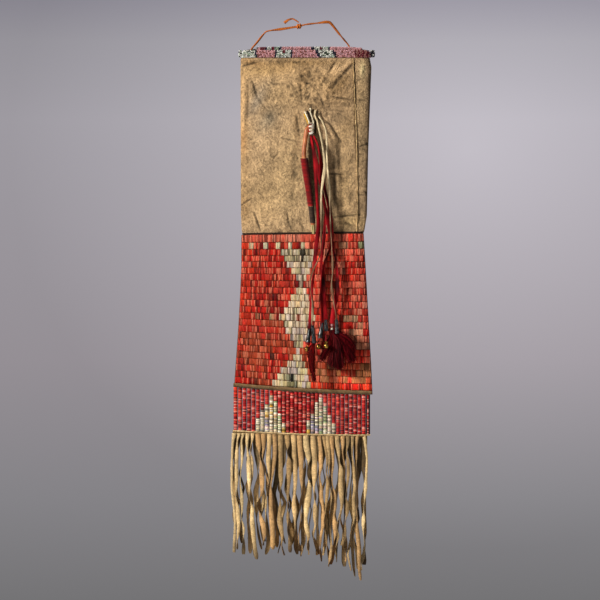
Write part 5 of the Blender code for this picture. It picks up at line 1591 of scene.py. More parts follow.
# The front thongs, in pixels: width, then height, place and turn in degrees at points down each.
# A turn below zero faces the light, and past 90 the reverse shows.
THONGS = (
    (3.6, (433, 234.3, -30), (441, 233.0, -70), (452, 232.4, -55), (470, 231.8, -50),
     (490, 232.0, -60), (505, 233.8, -50), (520, 235.3, -70), (536, 234.8, -40),
     (552, 234.2, -20)),
    (4.4, (433, 238.6, -20), (441, 237.6, -100), (450, 236.6, -30), (462, 236.2, -15),
     (480, 236.6, -30), (497, 236.6, -110), (510, 238.2, -30), (524, 238.8, -40),
     (535, 238.0, -60), (549, 237.4, -130)),
    (3.9, (433, 242.8, -20), (440, 241.2, -75), (448, 241.6, -40), (460, 242.2, -50),
     (470, 241.2, -90), (483, 240.2, -80), (497, 241.9, -25), (510, 241.6, -40),
     (517, 241.4, -100), (528, 243.6, -30), (540, 243.8, -120), (554, 243.6, -160)),
    (5.2, (433, 247.4, -20), (441, 246.8, -60), (450, 248.0, -90), (460, 248.6, -30),
     (472, 249.2, -25), (485, 249.3, -60), (500, 251.6, -140), (508, 252.8, -30),
     (516, 251.9, -50), (526, 252.4, -10), (540, 253.4, -20), (550, 255.0, -40),
     (559, 256.8, -20)),
    (4.2, (433, 252.0, -20), (441, 252.6, -80), (450, 250.8, -120), (460, 251.8, -30),
     (475, 251.9, -40), (485, 250.9, -80), (497, 249.6, -120), (510, 247.8, -130),
     (525, 248.2, -110), (540, 249.8, -140), (553, 250.4, -160)),
    (5.6, (433, 257.4, -10), (440, 258.0, -10), (447, 258.7, -30), (454, 260.2, -110),
     (466, 261.4, -50), (480, 262.0, -30), (492, 262.2, -60), (504, 258.4, -140),
     (516, 260.6, -60), (525, 263.6, -10), (535, 264.6, -50), (545, 263.4, -120)),
    (5.0, (433, 263.4, -10), (440, 263.5, -20), (448, 263.4, -50), (456, 262.2, -80),
     (469, 265.6, -120), (480, 267.8, -60), (487, 270.6, -40), (500, 270.2, -20),
     (512, 271.2, -15), (526, 272.4, -8), (540, 272.9, -5), (549, 273.0, 0)),
    (4.9, (433, 269.3, -5), (440, 269.3, -10), (451, 268.8, -15), (462, 268.1, -30),
     (472, 269.1, -60), (480, 270.4, -100), (490, 268.2, -130), (503, 266.2, -60),
     (515, 266.4, -100), (530, 267.8, -130), (545, 268.6, -150), (554, 266.0, -150)),
    (4.6, (433, 274.6, -5), (442, 274.8, -15), (452, 274.8, -20), (462, 274.0, -25),
     (472, 272.5, -40), (484, 271.0, -80), (495, 273.2, -110), (508, 274.4, -130),
     (522, 276.2, -110), (536, 277.4, -140), (547, 277.0, -150)),
    (5.3, (433, 280.5, 0), (444, 280.4, -10), (458, 280.4, -10), (472, 280.6, -20),
     (482, 281.2, -50), (493, 281.0, -130), (507, 280.4, -50), (514, 279.2, -60),
     (521, 279.8, -15), (528, 281.0, -30), (536, 282.4, -60), (546, 282.0, -100),
     (555, 284.6, -110)),
    (5.6, (433, 287.0, 0), (444, 287.5, -30), (452, 288.4, -140), (462, 289.2, -10),
     (474, 289.0, -30), (486, 288.1, -50), (497, 287.8, -60), (505, 288.8, -120),
     (516, 287.7, -50), (530, 288.4, -120), (542, 289.8, -60), (552, 290.2, -30)),
    (5.1, (433, 293.6, 0), (444, 293.8, 0), (458, 294.4, 0), (470, 295.1, -20), (482, 295.3, -45),
     (493, 295.0, -70), (501, 293.6, -50), (508, 294.4, -15), (520, 295.0, -70),
     (532, 296.4, -120), (545, 295.2, -140), (554, 297.4, -150)),
    (4.8, (433, 299.4, 0), (444, 299.8, -5), (458, 301.2, -10), (470, 301.2, -25),
     (482, 301.5, -60), (492, 302.8, -110), (503, 300.4, -120), (515, 301.5, -70),
     (527, 300.2, -120), (538, 298.4, -70), (551, 300.8, -140)),
    (6.2, (433, 306.0, 0), (446, 306.4, 0), (457, 308.2, -20), (466, 309.8, -140),
     (475, 309.6, -150), (485, 309.0, -30), (498, 308.2, -5), (508, 306.4, -20), (518, 305.6, -60),
     (528, 306.4, -40), (536, 308.8, -50), (543, 308.2, -120), (550, 308.4, -110)),
    (5.8, (433, 313.0, 0), (446, 313.8, 0), (458, 314.6, -5), (468, 314.5, -20), (477, 314.3, -40),
     (486, 314.1, -75), (497, 315.6, -120), (508, 315.0, -40), (519, 314.8, -60),
     (526, 316.4, -90), (533, 312.6, -60), (541, 315.2, -130), (554, 319.0, -130)),
    (4.6, (433, 318.4, -20), (442, 319.6, -50), (452, 320.8, -20), (466, 320.8, -30),
     (476, 319.2, -80), (488, 320.8, -30), (498, 320.9, -10), (508, 322.6, -60), (517, 323.2, -10),
     (525, 323.0, -50), (534, 321.0, -60), (542, 320.2, -60), (552, 320.8, -120),
     (561, 321.6, -110)),
    (4.2, (433, 322.4, -10), (444, 324.4, -30), (455, 327.0, -50), (463, 327.4, -70),
     (470, 326.6, -110), (480, 327.6, -50), (490, 327.6, -20), (503, 326.2, -60),
     (512, 325.6, -90), (524, 324.6, -120), (538, 326.0, -50), (550, 328.2, -120),
     (564, 330.4, -140)),
    (3.9, (433, 326.6, -10), (446, 327.9, -10), (456, 328.9, -30), (466, 328.6, -60),
     (474, 329.0, -100), (484, 330.2, -120), (496, 331.6, -60), (506, 331.4, -110),
     (518, 330.4, -130), (530, 331.2, -110), (545, 331.6, -60), (558, 330.0, -40),
     (566, 328.6, -130)),
    (4.6, (433, 331.4, -5), (444, 331.4, -5), (456, 332.4, -15), (466, 332.2, -40),
     (474, 331.4, -60), (484, 332.8, -100), (496, 334.4, -20), (508, 335.2, -40),
     (516, 333.8, -100), (521, 334.4, 0), (531, 334.9, -20), (540, 335.6, -120),
     (552, 332.8, -150), (564, 331.0, -140)),
    (5.0, (433, 336.9, -10), (444, 337.2, -25), (454, 338.9, -60), (462, 340.2, -110),
     (470, 341.2, -20), (484, 340.6, -10), (495, 341.4, -20), (506, 342.2, -60), (516, 339.8, -90),
     (526, 337.6, -120), (536, 338.6, -60), (547, 336.4, -110)),
    (3.9, (433, 342.0, -20), (444, 342.6, -40), (454, 342.2, -80), (464, 343.8, -30),
     (476, 343.6, -20), (488, 342.6, -40), (499, 344.0, -120), (510, 341.6, -70),
     (520, 340.4, -110), (532, 344.4, -130), (545, 346.0, -150), (561, 345.8, -40)),
    (4.8, (433, 346.9, -20), (443, 347.4, -40), (452, 346.6, -90), (462, 348.1, -40),
     (474, 348.2, -50), (485, 347.4, -70), (496, 346.4, -120), (504, 346.6, -10),
     (512, 347.0, -30), (520, 346.0, -110), (530, 344.8, -50), (538, 344.0, -30),
     (545, 341.8, -20)),
    (4.2, (433, 351.8, -20), (444, 351.9, -50), (454, 352.6, -100), (467, 353.0, -30),
     (479, 354.0, -40), (488, 355.0, -60), (498, 353.2, -50), (511, 354.2, -20), (520, 354.2, -70),
     (527, 352.4, -120), (536, 350.4, -110), (548, 352.4, -140), (566, 353.4, -130),
     (576, 355.0, -110)),
    (4.2, (433, 356.8, -20), (444, 356.2, -70), (456, 356.4, -60), (466, 357.0, -110),
     (478, 357.6, -130), (492, 357.0, -110), (504, 357.6, -130), (516, 356.4, -60),
     (526, 356.4, -30), (538, 358.0, -10), (550, 359.2, 0), (566, 358.8, -50), (580, 360.6, -40)),
    (4.6, (433, 363.4, -30), (442, 365.2, -60), (455, 366.2, -50), (470, 366.0, -50),
     (488, 365.4, -40), (499, 364.9, -80), (508, 364.2, -110), (519, 363.3, -30),
     (529, 362.9, -70), (538, 364.7, -110), (547, 365.2, -100), (557, 362.4, -150),
     (570, 361.4, -60)),
)


def front_way(row, steps):
    """Half the width of a front thong, and its places and turns from top to tip."""
    ys, xs, turns = np.array(row[1:], float).T
    y = np.linspace(ys[0], ys[-1], steps)
    x, turn = np.interp(y, ys, xs), np.interp(y, ys, turns)
    for _ in range(2):
        x[1:-1] = (x[:-2] + 2 * x[1:-1] + x[2:]) / 4
        turn[1:-1] = (turn[:-2] + 2 * turn[1:-1] + turn[2:]) / 4
    places = np.array([spot(*place) for place in zip(x, y)])
    return row[0] * PIXEL / 2, places[:, 0], places[:, 1], np.radians(turn)


def back_way(i, steps, chance):
    """The same for one of the thongs behind, of which only bits show from the front."""
    x = FRINGE_LEFT + (i + 0.5) * (FRINGE_RIGHT - FRINGE_LEFT) / BACK_THONGS
    across = (x - FRINGE_LEFT) / (FRINGE_RIGHT - FRINGE_LEFT)
    length = FRINGE_LEFT_LENGTH + (FRINGE_RIGHT_LENGTH - FRINGE_LEFT_LENGTH) * across**2
    z = np.linspace(0, -length * chance.uniform(0.88, 0.98), steps) + float(border_foot(x)) + 0.0016
    knots = np.linspace(0, 1, 9)
    t = np.linspace(0, 1, steps)
    shifts = [0, 0, *(chance.gauss(0, 0.0024) for _ in range(7))]
    turns = np.cumsum([0, *(chance.uniform(-70, 10) for _ in range(8))])
    way = x + np.interp(t, knots, shifts)
    half = FRINGE_WIDTH / 2 * chance.uniform(0.95, 1.25)
    return half, way, z, np.radians(np.interp(t, knots, turns))


def fringe(name, node, front, out, drift, seed):
    """A hide sheet cut into thongs that twist, cross and curl as they hang."""
    chance = random.Random(seed)
    gather = Gather()
    steps = 54
    t = np.linspace(0, 1, steps)
    # Round a thong: over its face from left to right, and back along its reverse
    across = np.array([-1, -0.6, 0, 0.6, 1, 0.6, 0, -0.6])
    through = np.array([0, 1, 1, 1, 0, -1, -1, -1]) * FRINGE_HIDE * 0.36
    # Painted shade round the front thongs: the right edge, away from the light, is darkest, and the
    # reverse is darker, partly its own darker flesh side and partly painted shade.
    shades = np.array([0.80, 1.06, 1.0, 0.80, 0.28, 0.40, 0.50, 0.42])
    # The thongs behind are painted in shade on their side that faces the front thongs, and keep the
    # suede's colour at the back.
    if not front:
        shades = np.array([0.18, 0.2, 0.22, 0.2, 0.18, 0.95, 1.0, 0.95])
    thongs = len(THONGS) if front else BACK_THONGS
    head = 0.5 * (FRINGE_RIGHT - FRINGE_LEFT) / thongs
    for i in range(thongs):
        half, x, z, turn = front_way(THONGS[i], steps) if front else back_way(i, steps, chance)
        y = belt_y(x[0], out + FRINGE_HIDE / 2) + drift * np.minimum(1.0, 1.8 * t)
        phase = chance.uniform(0, 6.28)
        sway = 0.0016 * np.sin(7 * t + phase) + chance.uniform(-0.0010, 0.0010)
        y = y + sway * np.minimum(1, 4 * t)
        ragged = np.array([1 + 0.13 * wobble(i * 7.1, seed, s * 9) for s in t])
        hold, ease = (0.03, (0.08, 0.22)) if front else (0.16, (0.24, 0.40))
        ease = chance.uniform(*ease)
        wide = bring(t, hold, ease, max(head * 1.05, half), half * 1.08)
        wide = wide * ragged * bring(t, 0.97, 1.0, 1, chance.uniform(0.3, 0.8))
        cup = chance.uniform(0.12, 0.34) * wide
        a = across * wide[:, None]
        b = through + cup[:, None] * (1 - across**2)
        c, s = np.cos(turn)[:, None], np.sin(turn)[:, None]
        rings = np.stack(
            [x[:, None] + a * c + b * s, y[:, None] + a * s - b * c, z[:, None] + 0 * a], -1
        )
        base = vary(chance, linear(chance.choice(SUEDES)), 0.10)
        tip = linear(chance.choice(TIPS))
        streak = np.array([0.92 + 0.34 * wobble(i * 3.3, seed + 4.0, s * 7) for s in t])
        dirty = bring(t, 0.76, 1.0, 0, chance.uniform(0.2, 0.9))[:, None, None]
        tint = base[None, None, :] * (streak[:, None] * shades)[..., None]
        gather.grid(rings, mix(tint, tip, dirty))
    across_strip(
        gather, FRINGE_LEFT, FRINGE_RIGHT, lambda x: slat_foot(x) - 2 * GAP,
        lambda x: border_foot(x) + 0.0004, out, FRINGE_HIDE * 0.9, linear("#9C8052"), wave=0.0005,
    )
    item = gather.piece(name, FRINGE_SUEDE, "fringe_hide", stands_for=[node], smooth=70)


# Thongs


def lace(name, route, slot, body, node, wide, thick, turn, tint):
    """A flat lace that hangs along its route. wide and turn go by the share of its length, and tint
    too."""
    path = smooth_route(route, 0.0022)
    reach = lengths(path)
    t = reach / reach[-1]
    rings = tube(path, wide(t), thick, turn(t), power=2.6)
    item = one_piece(
        rings, np.array([tint(value) for value in t]), name, LACE, slot, body, [node]
    )
    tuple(route[0])


def ring_of(centre, along, radius, lift=0.0, steps=18, phase=0.0):
    """Points round an axis, as a wrap of thong lies. lift leans the ring."""
    along = Vector(along).normalized()
    right = along.orthogonal().normalized()
    toward = along.cross(right)
    made = []
    for step in range(steps + 1):
        turn = phase + 2 * math.pi * step / steps
        made.append(
            Vector(centre)
            + right * radius * math.cos(turn)
            + toward * radius * math.sin(turn)
            + along * (lift * math.cos(turn))
        )
    return np.array(made)


def hanging_lace():
    """The thong that the bag hangs on, its knot and its loose end."""
    orange, dark = linear("#B0622A"), linear("#7A3A12")
    chance = random.Random(2)

    def tint(t):
        return mix(orange, dark, 0.5 * (0.5 + 0.5 * wobble(t * 22, 1.7)))

    knot = []
    along = Vector(HANGER_ROUTE[7]) - Vector(HANGER_ROUTE[5])
    for step, lean in ((-0.0017, 0.0008), (0.0, -0.0010), (0.0017, 0.0006)):
        centre = KNOT_AT + along.normalized() * step
        ring = ring_of(centre, along, 0.0026, lean)
        knot.append((ring, 0.00105, vary(chance, orange, 0.2)))
    strands("thong_knot_wraps", knot, LACE, "orange_thong", "bag", ["thong_knot"], sides=8)
    path = smooth_route(LOOSE_END_ROUTE, 0.0012)
    t = np.linspace(0, 1, len(path))
    wide = 0.0011 + 0.0010 * bring(t, 0.45, 1.0, 0, 1)
    soiled = 0.55 * bring(t, 0.35, 0.55, 0, 1) * bring(t, 0.55, 0.8, 1, 0)
    one_piece(
        tube(path, wide, 0.0007, 1.2 - 1.4 * t, power=3), orange * (1 - soiled)[:, None],
        "thong_loose_lace", LACE, "orange_thong", "bag", ["thong_loose_end"],
    )
    lace(
        "hanging_lace", HANGER_ROUTE, "orange_thong", "bag", "hanging_thong",
        lambda t: 0.0018 + 0.0002 * np.sin(t * 40), 0.0010,
        lambda t: 1.5 * np.sin(t * 9) + 0.5 * np.sin(t * 31),
        tint,
    )


def into_cone(number):
    """The last points of a thong that runs into a tin cone, or through it to a bell."""
    if number is None:
        return []
    top, foot = (Vector(end) for end in CONES[number - 1])
    along = (foot - top).normalized()
    if number in CONE_BELLS:
        return [top - along * CONE_LEAD, top, foot, above_bell(CONE_BELLS[number])]
    return [top - along * CONE_LEAD, top, top + along * CONE_HOLD]


def above_bell(number):
    """The place where a bell hangs from its cord."""
    return BELLS[number - 1] + Vector((0, 0, BELL_NECK + GAP))


def pendant_laces():
    """The dyed and the pale thongs of the pendant."""
    crimson, wine, light = linear("#74040E"), linear("#260104"), linear("#A2141C")
    cream, shade, brown = linear("#D8C8A4"), linear("#A08862"), linear("#5A3020")
    for number, (route, cone) in enumerate(zip(RED_ROUTES, RED_CONES), 1):
        chance = random.Random(number)
        phase = chance.uniform(0, 6)

        # Along the lace the red is painted lighter toward a highlight and darker toward wine, as
        # light and shade on its twists.
        def tint(t, phase=phase):
            value = wobble(t * 17, phase)
            return mix(crimson, light if value > 0 else wine, min(1.0, 1.5 * abs(value)))

        def wide(t):
            return 0.0023 - 0.0003 * np.cos(t * 21) + 0.0008 * bring(t, 0.42, 0.55, 0, 1)

        def turn(t, phase=phase):
            return phase * 0.2 + 0.7 * np.sin(t * 10 + phase) + 0.4 * t

        lace(
            f"red_lace_{number}", [*route, *into_cone(cone)], "red_thong", "pendant",
            f"red_thong_{number}", wide, 0.00085, turn, tint,
        )
    for number, (route, cone) in enumerate(zip(WHITE_ROUTES, WHITE_CONES), 1):
        phase, broad = number * 2.3, 0.0010 if number == 1 else 0.0002

        def tint(t, phase=phase):
            value = 0.5 + 0.5 * wobble(t * 18, phase, 3)
            soiled = float(bring(t, 0.36, 0.50, 0, 1)) * min(0.95, 0.30 + 1.1 * value)
            return mix(mix(cream, shade, 0.5 * value), brown, soiled)

        def wide(t, phase=phase, broad=broad):
            curl = 0.0006 * bring(t, 0.36, 0.5, 0, 1) * np.sin(t * 40 + phase)
            return 0.00125 + broad * np.exp(-(((t - 0.27) / 0.09) ** 2)) + curl

        def turn(t, phase=phase):
            curl = 1.1 * bring(t, 0.36, 0.6, 0, 1) * np.sin(t * 24 + phase)
            return 0.5 * np.sin(t * 13 + phase) + curl

        lace(
            f"white_lace_{number}", [*route, *into_cone(cone)], "pale_thong", "pendant",
            f"white_thong_{number}", wide, 0.0006, turn, tint,
        )


SINEW_TURNS = 9
SINEWS = ("#D6D0C2", "#A8A298", "#C6BCA6", "#E2DED2")


def tie(chance):
    """The knot through the hide, and the strands that run from it to the bundle."""
    pale, yellow, dark = linear("#DCD2B6"), linear("#C89A28"), linear("#1E1710")
    loops = []
    for centre, way, radius, colour in (
        ((0, 0, 0.0004), (1, 0.2, 0.1), 0.0014, pale),
        ((0.0004, 0, -0.0002), (0.2, 0.1, 1), 0.0013, dark),
        ((-0.0004, 0.0002, 0.0002), (0.7, 0.1, 0.7), 0.0013, pale),
    ):
        loops.append((ring_of(TIE + Vector(centre), way, radius), 0.00075, colour))
    strands("tie_knot_loops", loops, LACE, "pale_thong", "tie", ["tie_knot"], sides=8)
    sets = {"white": [], "yellow": [], "dark": []}
    # Ends by pixel, and half width in millimetres
    for kind, start, end, half in (
        ("white", (305.0, 112.2), (309.4, 124.0), 1.2),
        ("white", (309.8, 111.6), (312.8, 120.8), 1.0),
        ("white", (312.8, 119.8), (313.6, 126.0), 1.1),
        ("yellow", (304.4, 114.8), (308.4, 125.0), 0.9),
        ("yellow", (305.8, 117.4), (309.6, 124.6), 0.7),
        # The dark strands are partly dark hide and partly painted shadow: they fill the dark gaps
        # among the tie's strands and the black strip right of the binding.
        ("dark", (307.0, 111.4), (311.2, 122.6), 1.2),
        ("dark", (311.8, 111.0), (312.6, 119.6), 0.9),
        ("dark", (308.6, 113.4), (310.4, 122.0), 0.8),
        ("dark", (317.8, 110.0), (316.6, 119.0), 0.9),
        ("dark", (315.4, 119.0), (315.0, 134.0), 1.3),
    ):
        (x0, z0), (x1, z1) = spot(*start), spot(*end)
        first = Vector((x0, TIE.y + 0.0004, z0))
        last = Vector((x1, BINDING_TOP.y + (0.0024 if kind == "dark" else -0.0006), z1))
        middle = first.lerp(last, 0.5) + Vector((chance.uniform(-0.0005, 0.0005), -0.0008, 0))
        path = smooth_route((first, middle, last), 0.0012)
        colour = {"white": pale, "yellow": yellow, "dark": dark}[kind]
        thick = half * 0.001 * np.linspace(1.0, 0.8, len(path))
        sets[kind].append((path, thick, vary(chance, colour, 0.15)))
    strands("white_tie_strands", sets["white"], LACE, "pale_thong", stands_for=["tie_strand_white"])
    strands(
        "yellow_tie_strands", sets["yellow"], LACE, "yellow_thong", stands_for=["tie_strand_yellow"]
    )
    strands("dark_tie_strands", sets["dark"], LACE, "dark_hide")


def binding(chance):
    """The sinew that binds the bundle."""
    wraps = []
    for i in range(SINEW_TURNS):
        share = (i + 0.2) / SINEW_TURNS
        drop = 0.0024 - BINDING_LENGTH * 1.18 * share
        centre = BINDING_TOP + Vector((-0.0016 + 0.0008 * share, 0, drop))
        centre += Vector((chance.uniform(-0.0005, 0.0005), 0, 0))
        radius = 0.0030 + chance.uniform(-0.0005, 0.0003)
        colour = vary(chance, linear(chance.choice(SINEWS)), 0.15)
        ring = ring_of(
            centre, (0.1, 0.05, -1), radius, chance.uniform(-0.0016, 0.0016),
            phase=chance.uniform(0, 6),
        )
        wraps.append((ring, chance.uniform(0.0006, 0.0010), colour))
    # The laces in its core, and a bright red strand that shows at the left under the sinew
    middle, foot = -BINDING_LENGTH * 0.5, -BINDING_LENGTH
    for steps, spacing, half, text in (
        (
            ((-0.0010, 0, 0.0012), (-0.0008, 0, middle), (-0.0004, 0, foot)),
            0.002, 0.0024, "#6A2420",
        ),
        (
            ((-0.0046, -0.0004, -0.0004), (-0.0050, -0.0008, -0.0040), (-0.0042, -0.0006, -0.0096)),
            0.0015, 0.0011, "#B81C16",
        ),
    ):
        route = [BINDING_TOP + Vector(step) for step in steps]
        wraps.append((smooth_route(route, spacing), half, linear(text)))
    strands("sinew_binding", wraps, LACE, "pale_thong", stands_for=["pendant_binding"], sides=8)


def pendant_head():
    """Where the pendant hangs."""
    chance = random.Random(77)
    tie(chance)
    binding(chance)


YARN_STEPS = 14  # points in one turn of yarn


def helix(path, radii, pitch):
    """Points of a yarn wound round a path, between a radius at its start and one at its end."""
    reach = lengths(path)
    places = np.linspace(0, reach[-1], int(reach[-1] / pitch * YARN_STEPS) + 1)
    angle = 2 * math.pi * places / pitch
    offset = np.stack([np.cos(angle), np.sin(angle), np.zeros(len(angle))], -1)
    size = np.interp(places, (0, reach[-1]), radii)
    return at_places(path, reach, places) + offset * size[:, None]


def twig(path, total):
    """A bare twig, handled until it shines."""
    under_binding = np.array([(0.0062, -0.0180, -0.1385), (0.0048, -0.0184, -0.1412)])
    wood = np.concatenate([under_binding, stretch_of(path, 0.0, total - TIP_LENGTH - GAP)])
    t = np.linspace(0, 1, len(wood))
    radii = STICK_RADIUS * np.array([0.94 + 0.10 * wobble(s * 9, 4.0) for s in t])
    radii[:3] *= (0.5, 0.8, 0.95)
    colours = [linear("#A4592A"), linear("#70381A"), linear("#CC8A50")]
    tints = []
    for s in t:
        value = wobble(s * 16, 9.0)
        tints.append(mix(colours[0], colours[1 if value < 0 else 2], abs(value)))
    one_piece(
        tube(wood, radii, radii * 0.95, sides=14), np.array(tints), "twig", TWIG, "wood", "pendant",
        ["pendant_stick"],
    )


def wool(path, chance):
    """Red and then grey wool wound round the stick."""
    for kind, span, text, second, radii_of_wool in (
        ("red", RED_YARN_SPAN, "#921014", "#520808", (0.0046, 0.0037)),
        ("grey", GREY_YARN_SPAN, "#4A382E", "#2A201A", (0.0034, 0.0032)),
    ):
        line = helix(stretch_of(path, *span), radii_of_wool, 0.00152)
        levels = [0.5 + abs(wobble(i * 0.021, 2)) for i in range(len(line))]
        tint = linear(text) * np.array(levels)[:, None]
        # The right side of the yarn, toward the laces and away from the light, is painted in shade
        turn = 2 * math.pi * np.arange(len(line)) / YARN_STEPS
        tint *= np.interp(np.cos(turn), (-0.2, 0.7), (1.0, 0.35))[:, None]
        tint = np.clip(tint, 0, 1)
        tint[:, 3] = 1
        for start in range(0, len(line), 10 * YARN_STEPS):
            if chance.random() < 0.35:
                tint[start : start + YARN_STEPS] = linear(second)
        strands(
            f"{kind}_wool", [(line, 0.00082, tint)], WOOL, f"{kind}_yarn",
            stands_for=[f"{kind}_yarn_wrap"],
        )


def stick_tip(path, total, chance):
    """A bundle of pale fibres at the foot of the stick."""
    tip = stretch_of(path, total - TIP_LENGTH, total)
    bits = []
    for i in range(9):
        angle = 2 * math.pi * i / 9
        radius = 0.0019 if i else 0.0
        offset = np.array((math.cos(angle) * radius, math.sin(angle) * radius, 0))
        line = tip + offset * np.linspace(1, 0.75, len(tip))[:, None]
        line = smooth_route(line[:: max(1, len(line) // 4)], 0.002)
        colour = linear(chance.choice(("#A89468", "#7E7A4A", "#C2AE80", "#8C7448")))
        bits.append((line, np.linspace(0.0012, 0.0008, len(line)), colour))
    strands("stick_tip_bundle", bits, LACE, "pale_thong", stands_for=["stick_tip"])


def pendant_stick():
    """The twig with its wool and its tip."""
    path = smooth_route(STICK_ROUTE, 0.0030)
    total, chance = float(lengths(path)[-1]), random.Random(12)
    twig(path, total)
    wool(path, chance)
    stick_tip(path, total, chance)


PLAIN = linear("#FFFFFF")


def cones():
    """Tin cones rolled from sheet."""
    for number, ends in enumerate(CONES, 1):
        top, foot = (np.array(end) for end in ends)
        rows = []
        along = (foot - top) / np.linalg.norm(foot - top)
        right = np.cross((0.0, 1.0, 0.0), along)
        right /= np.linalg.norm(right)
        toward = np.cross(along, right)
        for t in np.linspace(0, 1, 9):
            middle = top + (foot - top) * t
            radius = CONE_TOP_RADIUS + (CONE_FOOT_RADIUS - CONE_TOP_RADIUS) * t**1.1
            outer, inner = [], []
            for k in range(25):
                turn = 2 * math.pi * (k / 24 * 1.06) + number
                size = radius - 0.00028 * k / 24
                way = right * math.cos(turn) + toward * math.sin(turn)
                outer.append(middle + way * size)
                inner.append(middle + way * (size - 0.0003))
            rows.append(outer + inner[::-1])
        one_piece(
            rows, PLAIN, f"rolled_tin_{number}", TIN, "tin", "pendant", [f"tin_cone_{number}"],
            smooth=40,
        )


def bells():
    """Round brass bells, the cord of the last one and the two glass beads."""
    r = BELL_RADIUS
    for number, at in enumerate(BELLS, 1):
        upper, lower = (
            [(r * math.sin(a), r * math.cos(a)) for a in np.linspace(*span, 8)]
            for span in ((0.22, 1.42), (1.72, 2.95))
        )
        seam = [(r * 1.06, r * 0.10), (r * 1.08, 0.0), (r * 1.06, -r * 0.10)]
        gather = Gather()
        gather.grid(turned(at, upper + seam + lower, 24), PLAIN)
        loop = ring_of(at + Vector((0, 0, r + 0.0012)), (0.2, 1, 0), 0.0013)
        gather.grid(tube_round(loop, 0.00042), PLAIN)
        gather.piece(
            f"bell_{number}", BRASS, "brass", "pendant", [f"brass_bell_{number}"], smooth=40
        )
    line = smooth_route([*BELL_STRAND_ROUTE, above_bell(3)], 0.0015)
    cord = [(line, 0.0008, linear("#7A1020"))]
    strands("bell_cord", cord, LACE, "red_thong", stands_for=["bell_strand"])
    half = ((0.0010, 0.0018), (0.0018, 0.0013), (0.0022, 0.0))
    profile = [*half, *((radius, -height) for radius, height in half[1::-1])]
    for number, (at, text) in enumerate(zip(GLASS_BEADS, ("#9C6C70", "#B0A89C")), 1):
        one_piece(
            turned(at, profile, 16), linear(text), f"trade_bead_{number}", GLASS, "pink_beads",
            "pendant", [f"glass_bead_{number}"], smooth=60,
        )


def tube_round(path, radius, sides=8):
    """Rings along a path that may run any way, with the least twist."""
    path = [Vector(point) for point in path]
    normal = (path[1] - path[0]).orthogonal().normalized()
    rows = []
    for i, point in enumerate(path):
        ahead = (path[min(i + 1, len(path) - 1)] - path[max(i - 1, 0)]).normalized()
        normal = (normal - ahead * normal.dot(ahead)).normalized()
        other = ahead.cross(normal)
        rows.append(
            [
                point + normal * radius * math.cos(a) + other * radius * math.sin(a)
                for a in (2 * math.pi * k / sides for k in range(sides))
            ]
        )
    return np.array(rows)


def tuft(name, node, slot, root, tips, count, colours, radius, seed, bend):
    """Dyed hair tied at its root, spreading to its tips: each one's middle, reach and weight."""
    chance = random.Random(seed)
    lines = []
    for _ in range(count):
        centre, reach, _ = chance.choices(tips, [tip[2] for tip in tips])[0]
        end = Vector(centre) + Vector([chance.gauss(0, 0.35) * r for r in reach])
        start = Vector(root) + Vector([chance.gauss(0, 0.0008) for _ in range(3)])
        middle = start.lerp(end, chance.uniform(0.42, 0.6))
        middle += Vector(bend) * chance.uniform(0.5, 1.3)
        middle += Vector([chance.gauss(0, 0.0014) for _ in range(3)])
        path = smooth_route((start, middle, end), 0.006)
        thick = radius * np.linspace(1.0, 0.35, len(path)) * chance.uniform(0.7, 1.2)
        colour = vary(chance, linear(chance.choice(colours)), 0.3)
        lines.append((path, thick, colour))
    strands(name, lines, HAIR, slot, stands_for=[node], sides=4)


def tufts():
    """The maroon tuft at the right and the small red one under a cone."""
    tuft(
        "maroon_hair_tuft", "maroon_tuft", "maroon_hair", (0.0370, -0.0200, -0.4200),
        (
            ((0.0668, -0.0240, -0.4430), (0.006, 0.010, 0.010), 3),
            ((0.0640, -0.0250, -0.4590), (0.008, 0.010, 0.008), 3),
            ((0.0460, -0.0260, -0.4690), (0.012, 0.009, 0.006), 4),
            ((0.0360, -0.0250, -0.4640), (0.008, 0.008, 0.006), 3),
            ((0.0225, -0.0260, -0.4575), (0.006, 0.006, 0.007), 2),
            ((0.0480, -0.0250, -0.4500), (0.012, 0.008, 0.009), 3),
        ),
        2300, ("#42040A", "#2A0206", "#52060E", "#180102", "#660A12"),
        0.00036, 5, (0.004, -0.002, 0.002),
    )
    tuft(
        "red_hair_tuft", "small_tuft", "red_yarn", (0.0121, -0.0309, -0.4352),
        (
            ((0.0128, -0.0305, -0.4860), (0.004, 0.004, 0.004), 2),
            ((0.0104, -0.0305, -0.4720), (0.004, 0.004, 0.006), 2),
            ((0.0080, -0.0303, -0.4600), (0.003, 0.003, 0.006), 1),
        ),
        460, ("#5A0408", "#340204", "#7C0A0C", "#1E0102"), 0.00034, 6, (-0.0030, 0.0, 0.0),
    )


def carried_over():
    """Solids whose own shape is right, with their finish."""
    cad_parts["panel_seam_welt"].material_slots[0].material = DARK_WELT


# Room, light and camera


def lamp(name, place, aim, size, power, colour="#FFFFFF"):
    """A round lamp that faces a place."""
    data = bpy.data.lights.new(name, "AREA")
    data.shape = "DISK"
    data.size = size
    data.energy = power
    data.color = linear(colour)[:3]
    item = placed(name, data)
    item.location = place
    item.rotation_euler = (Vector(aim) - Vector(place)).to_track_quat("-Z", "Y").to_euler()


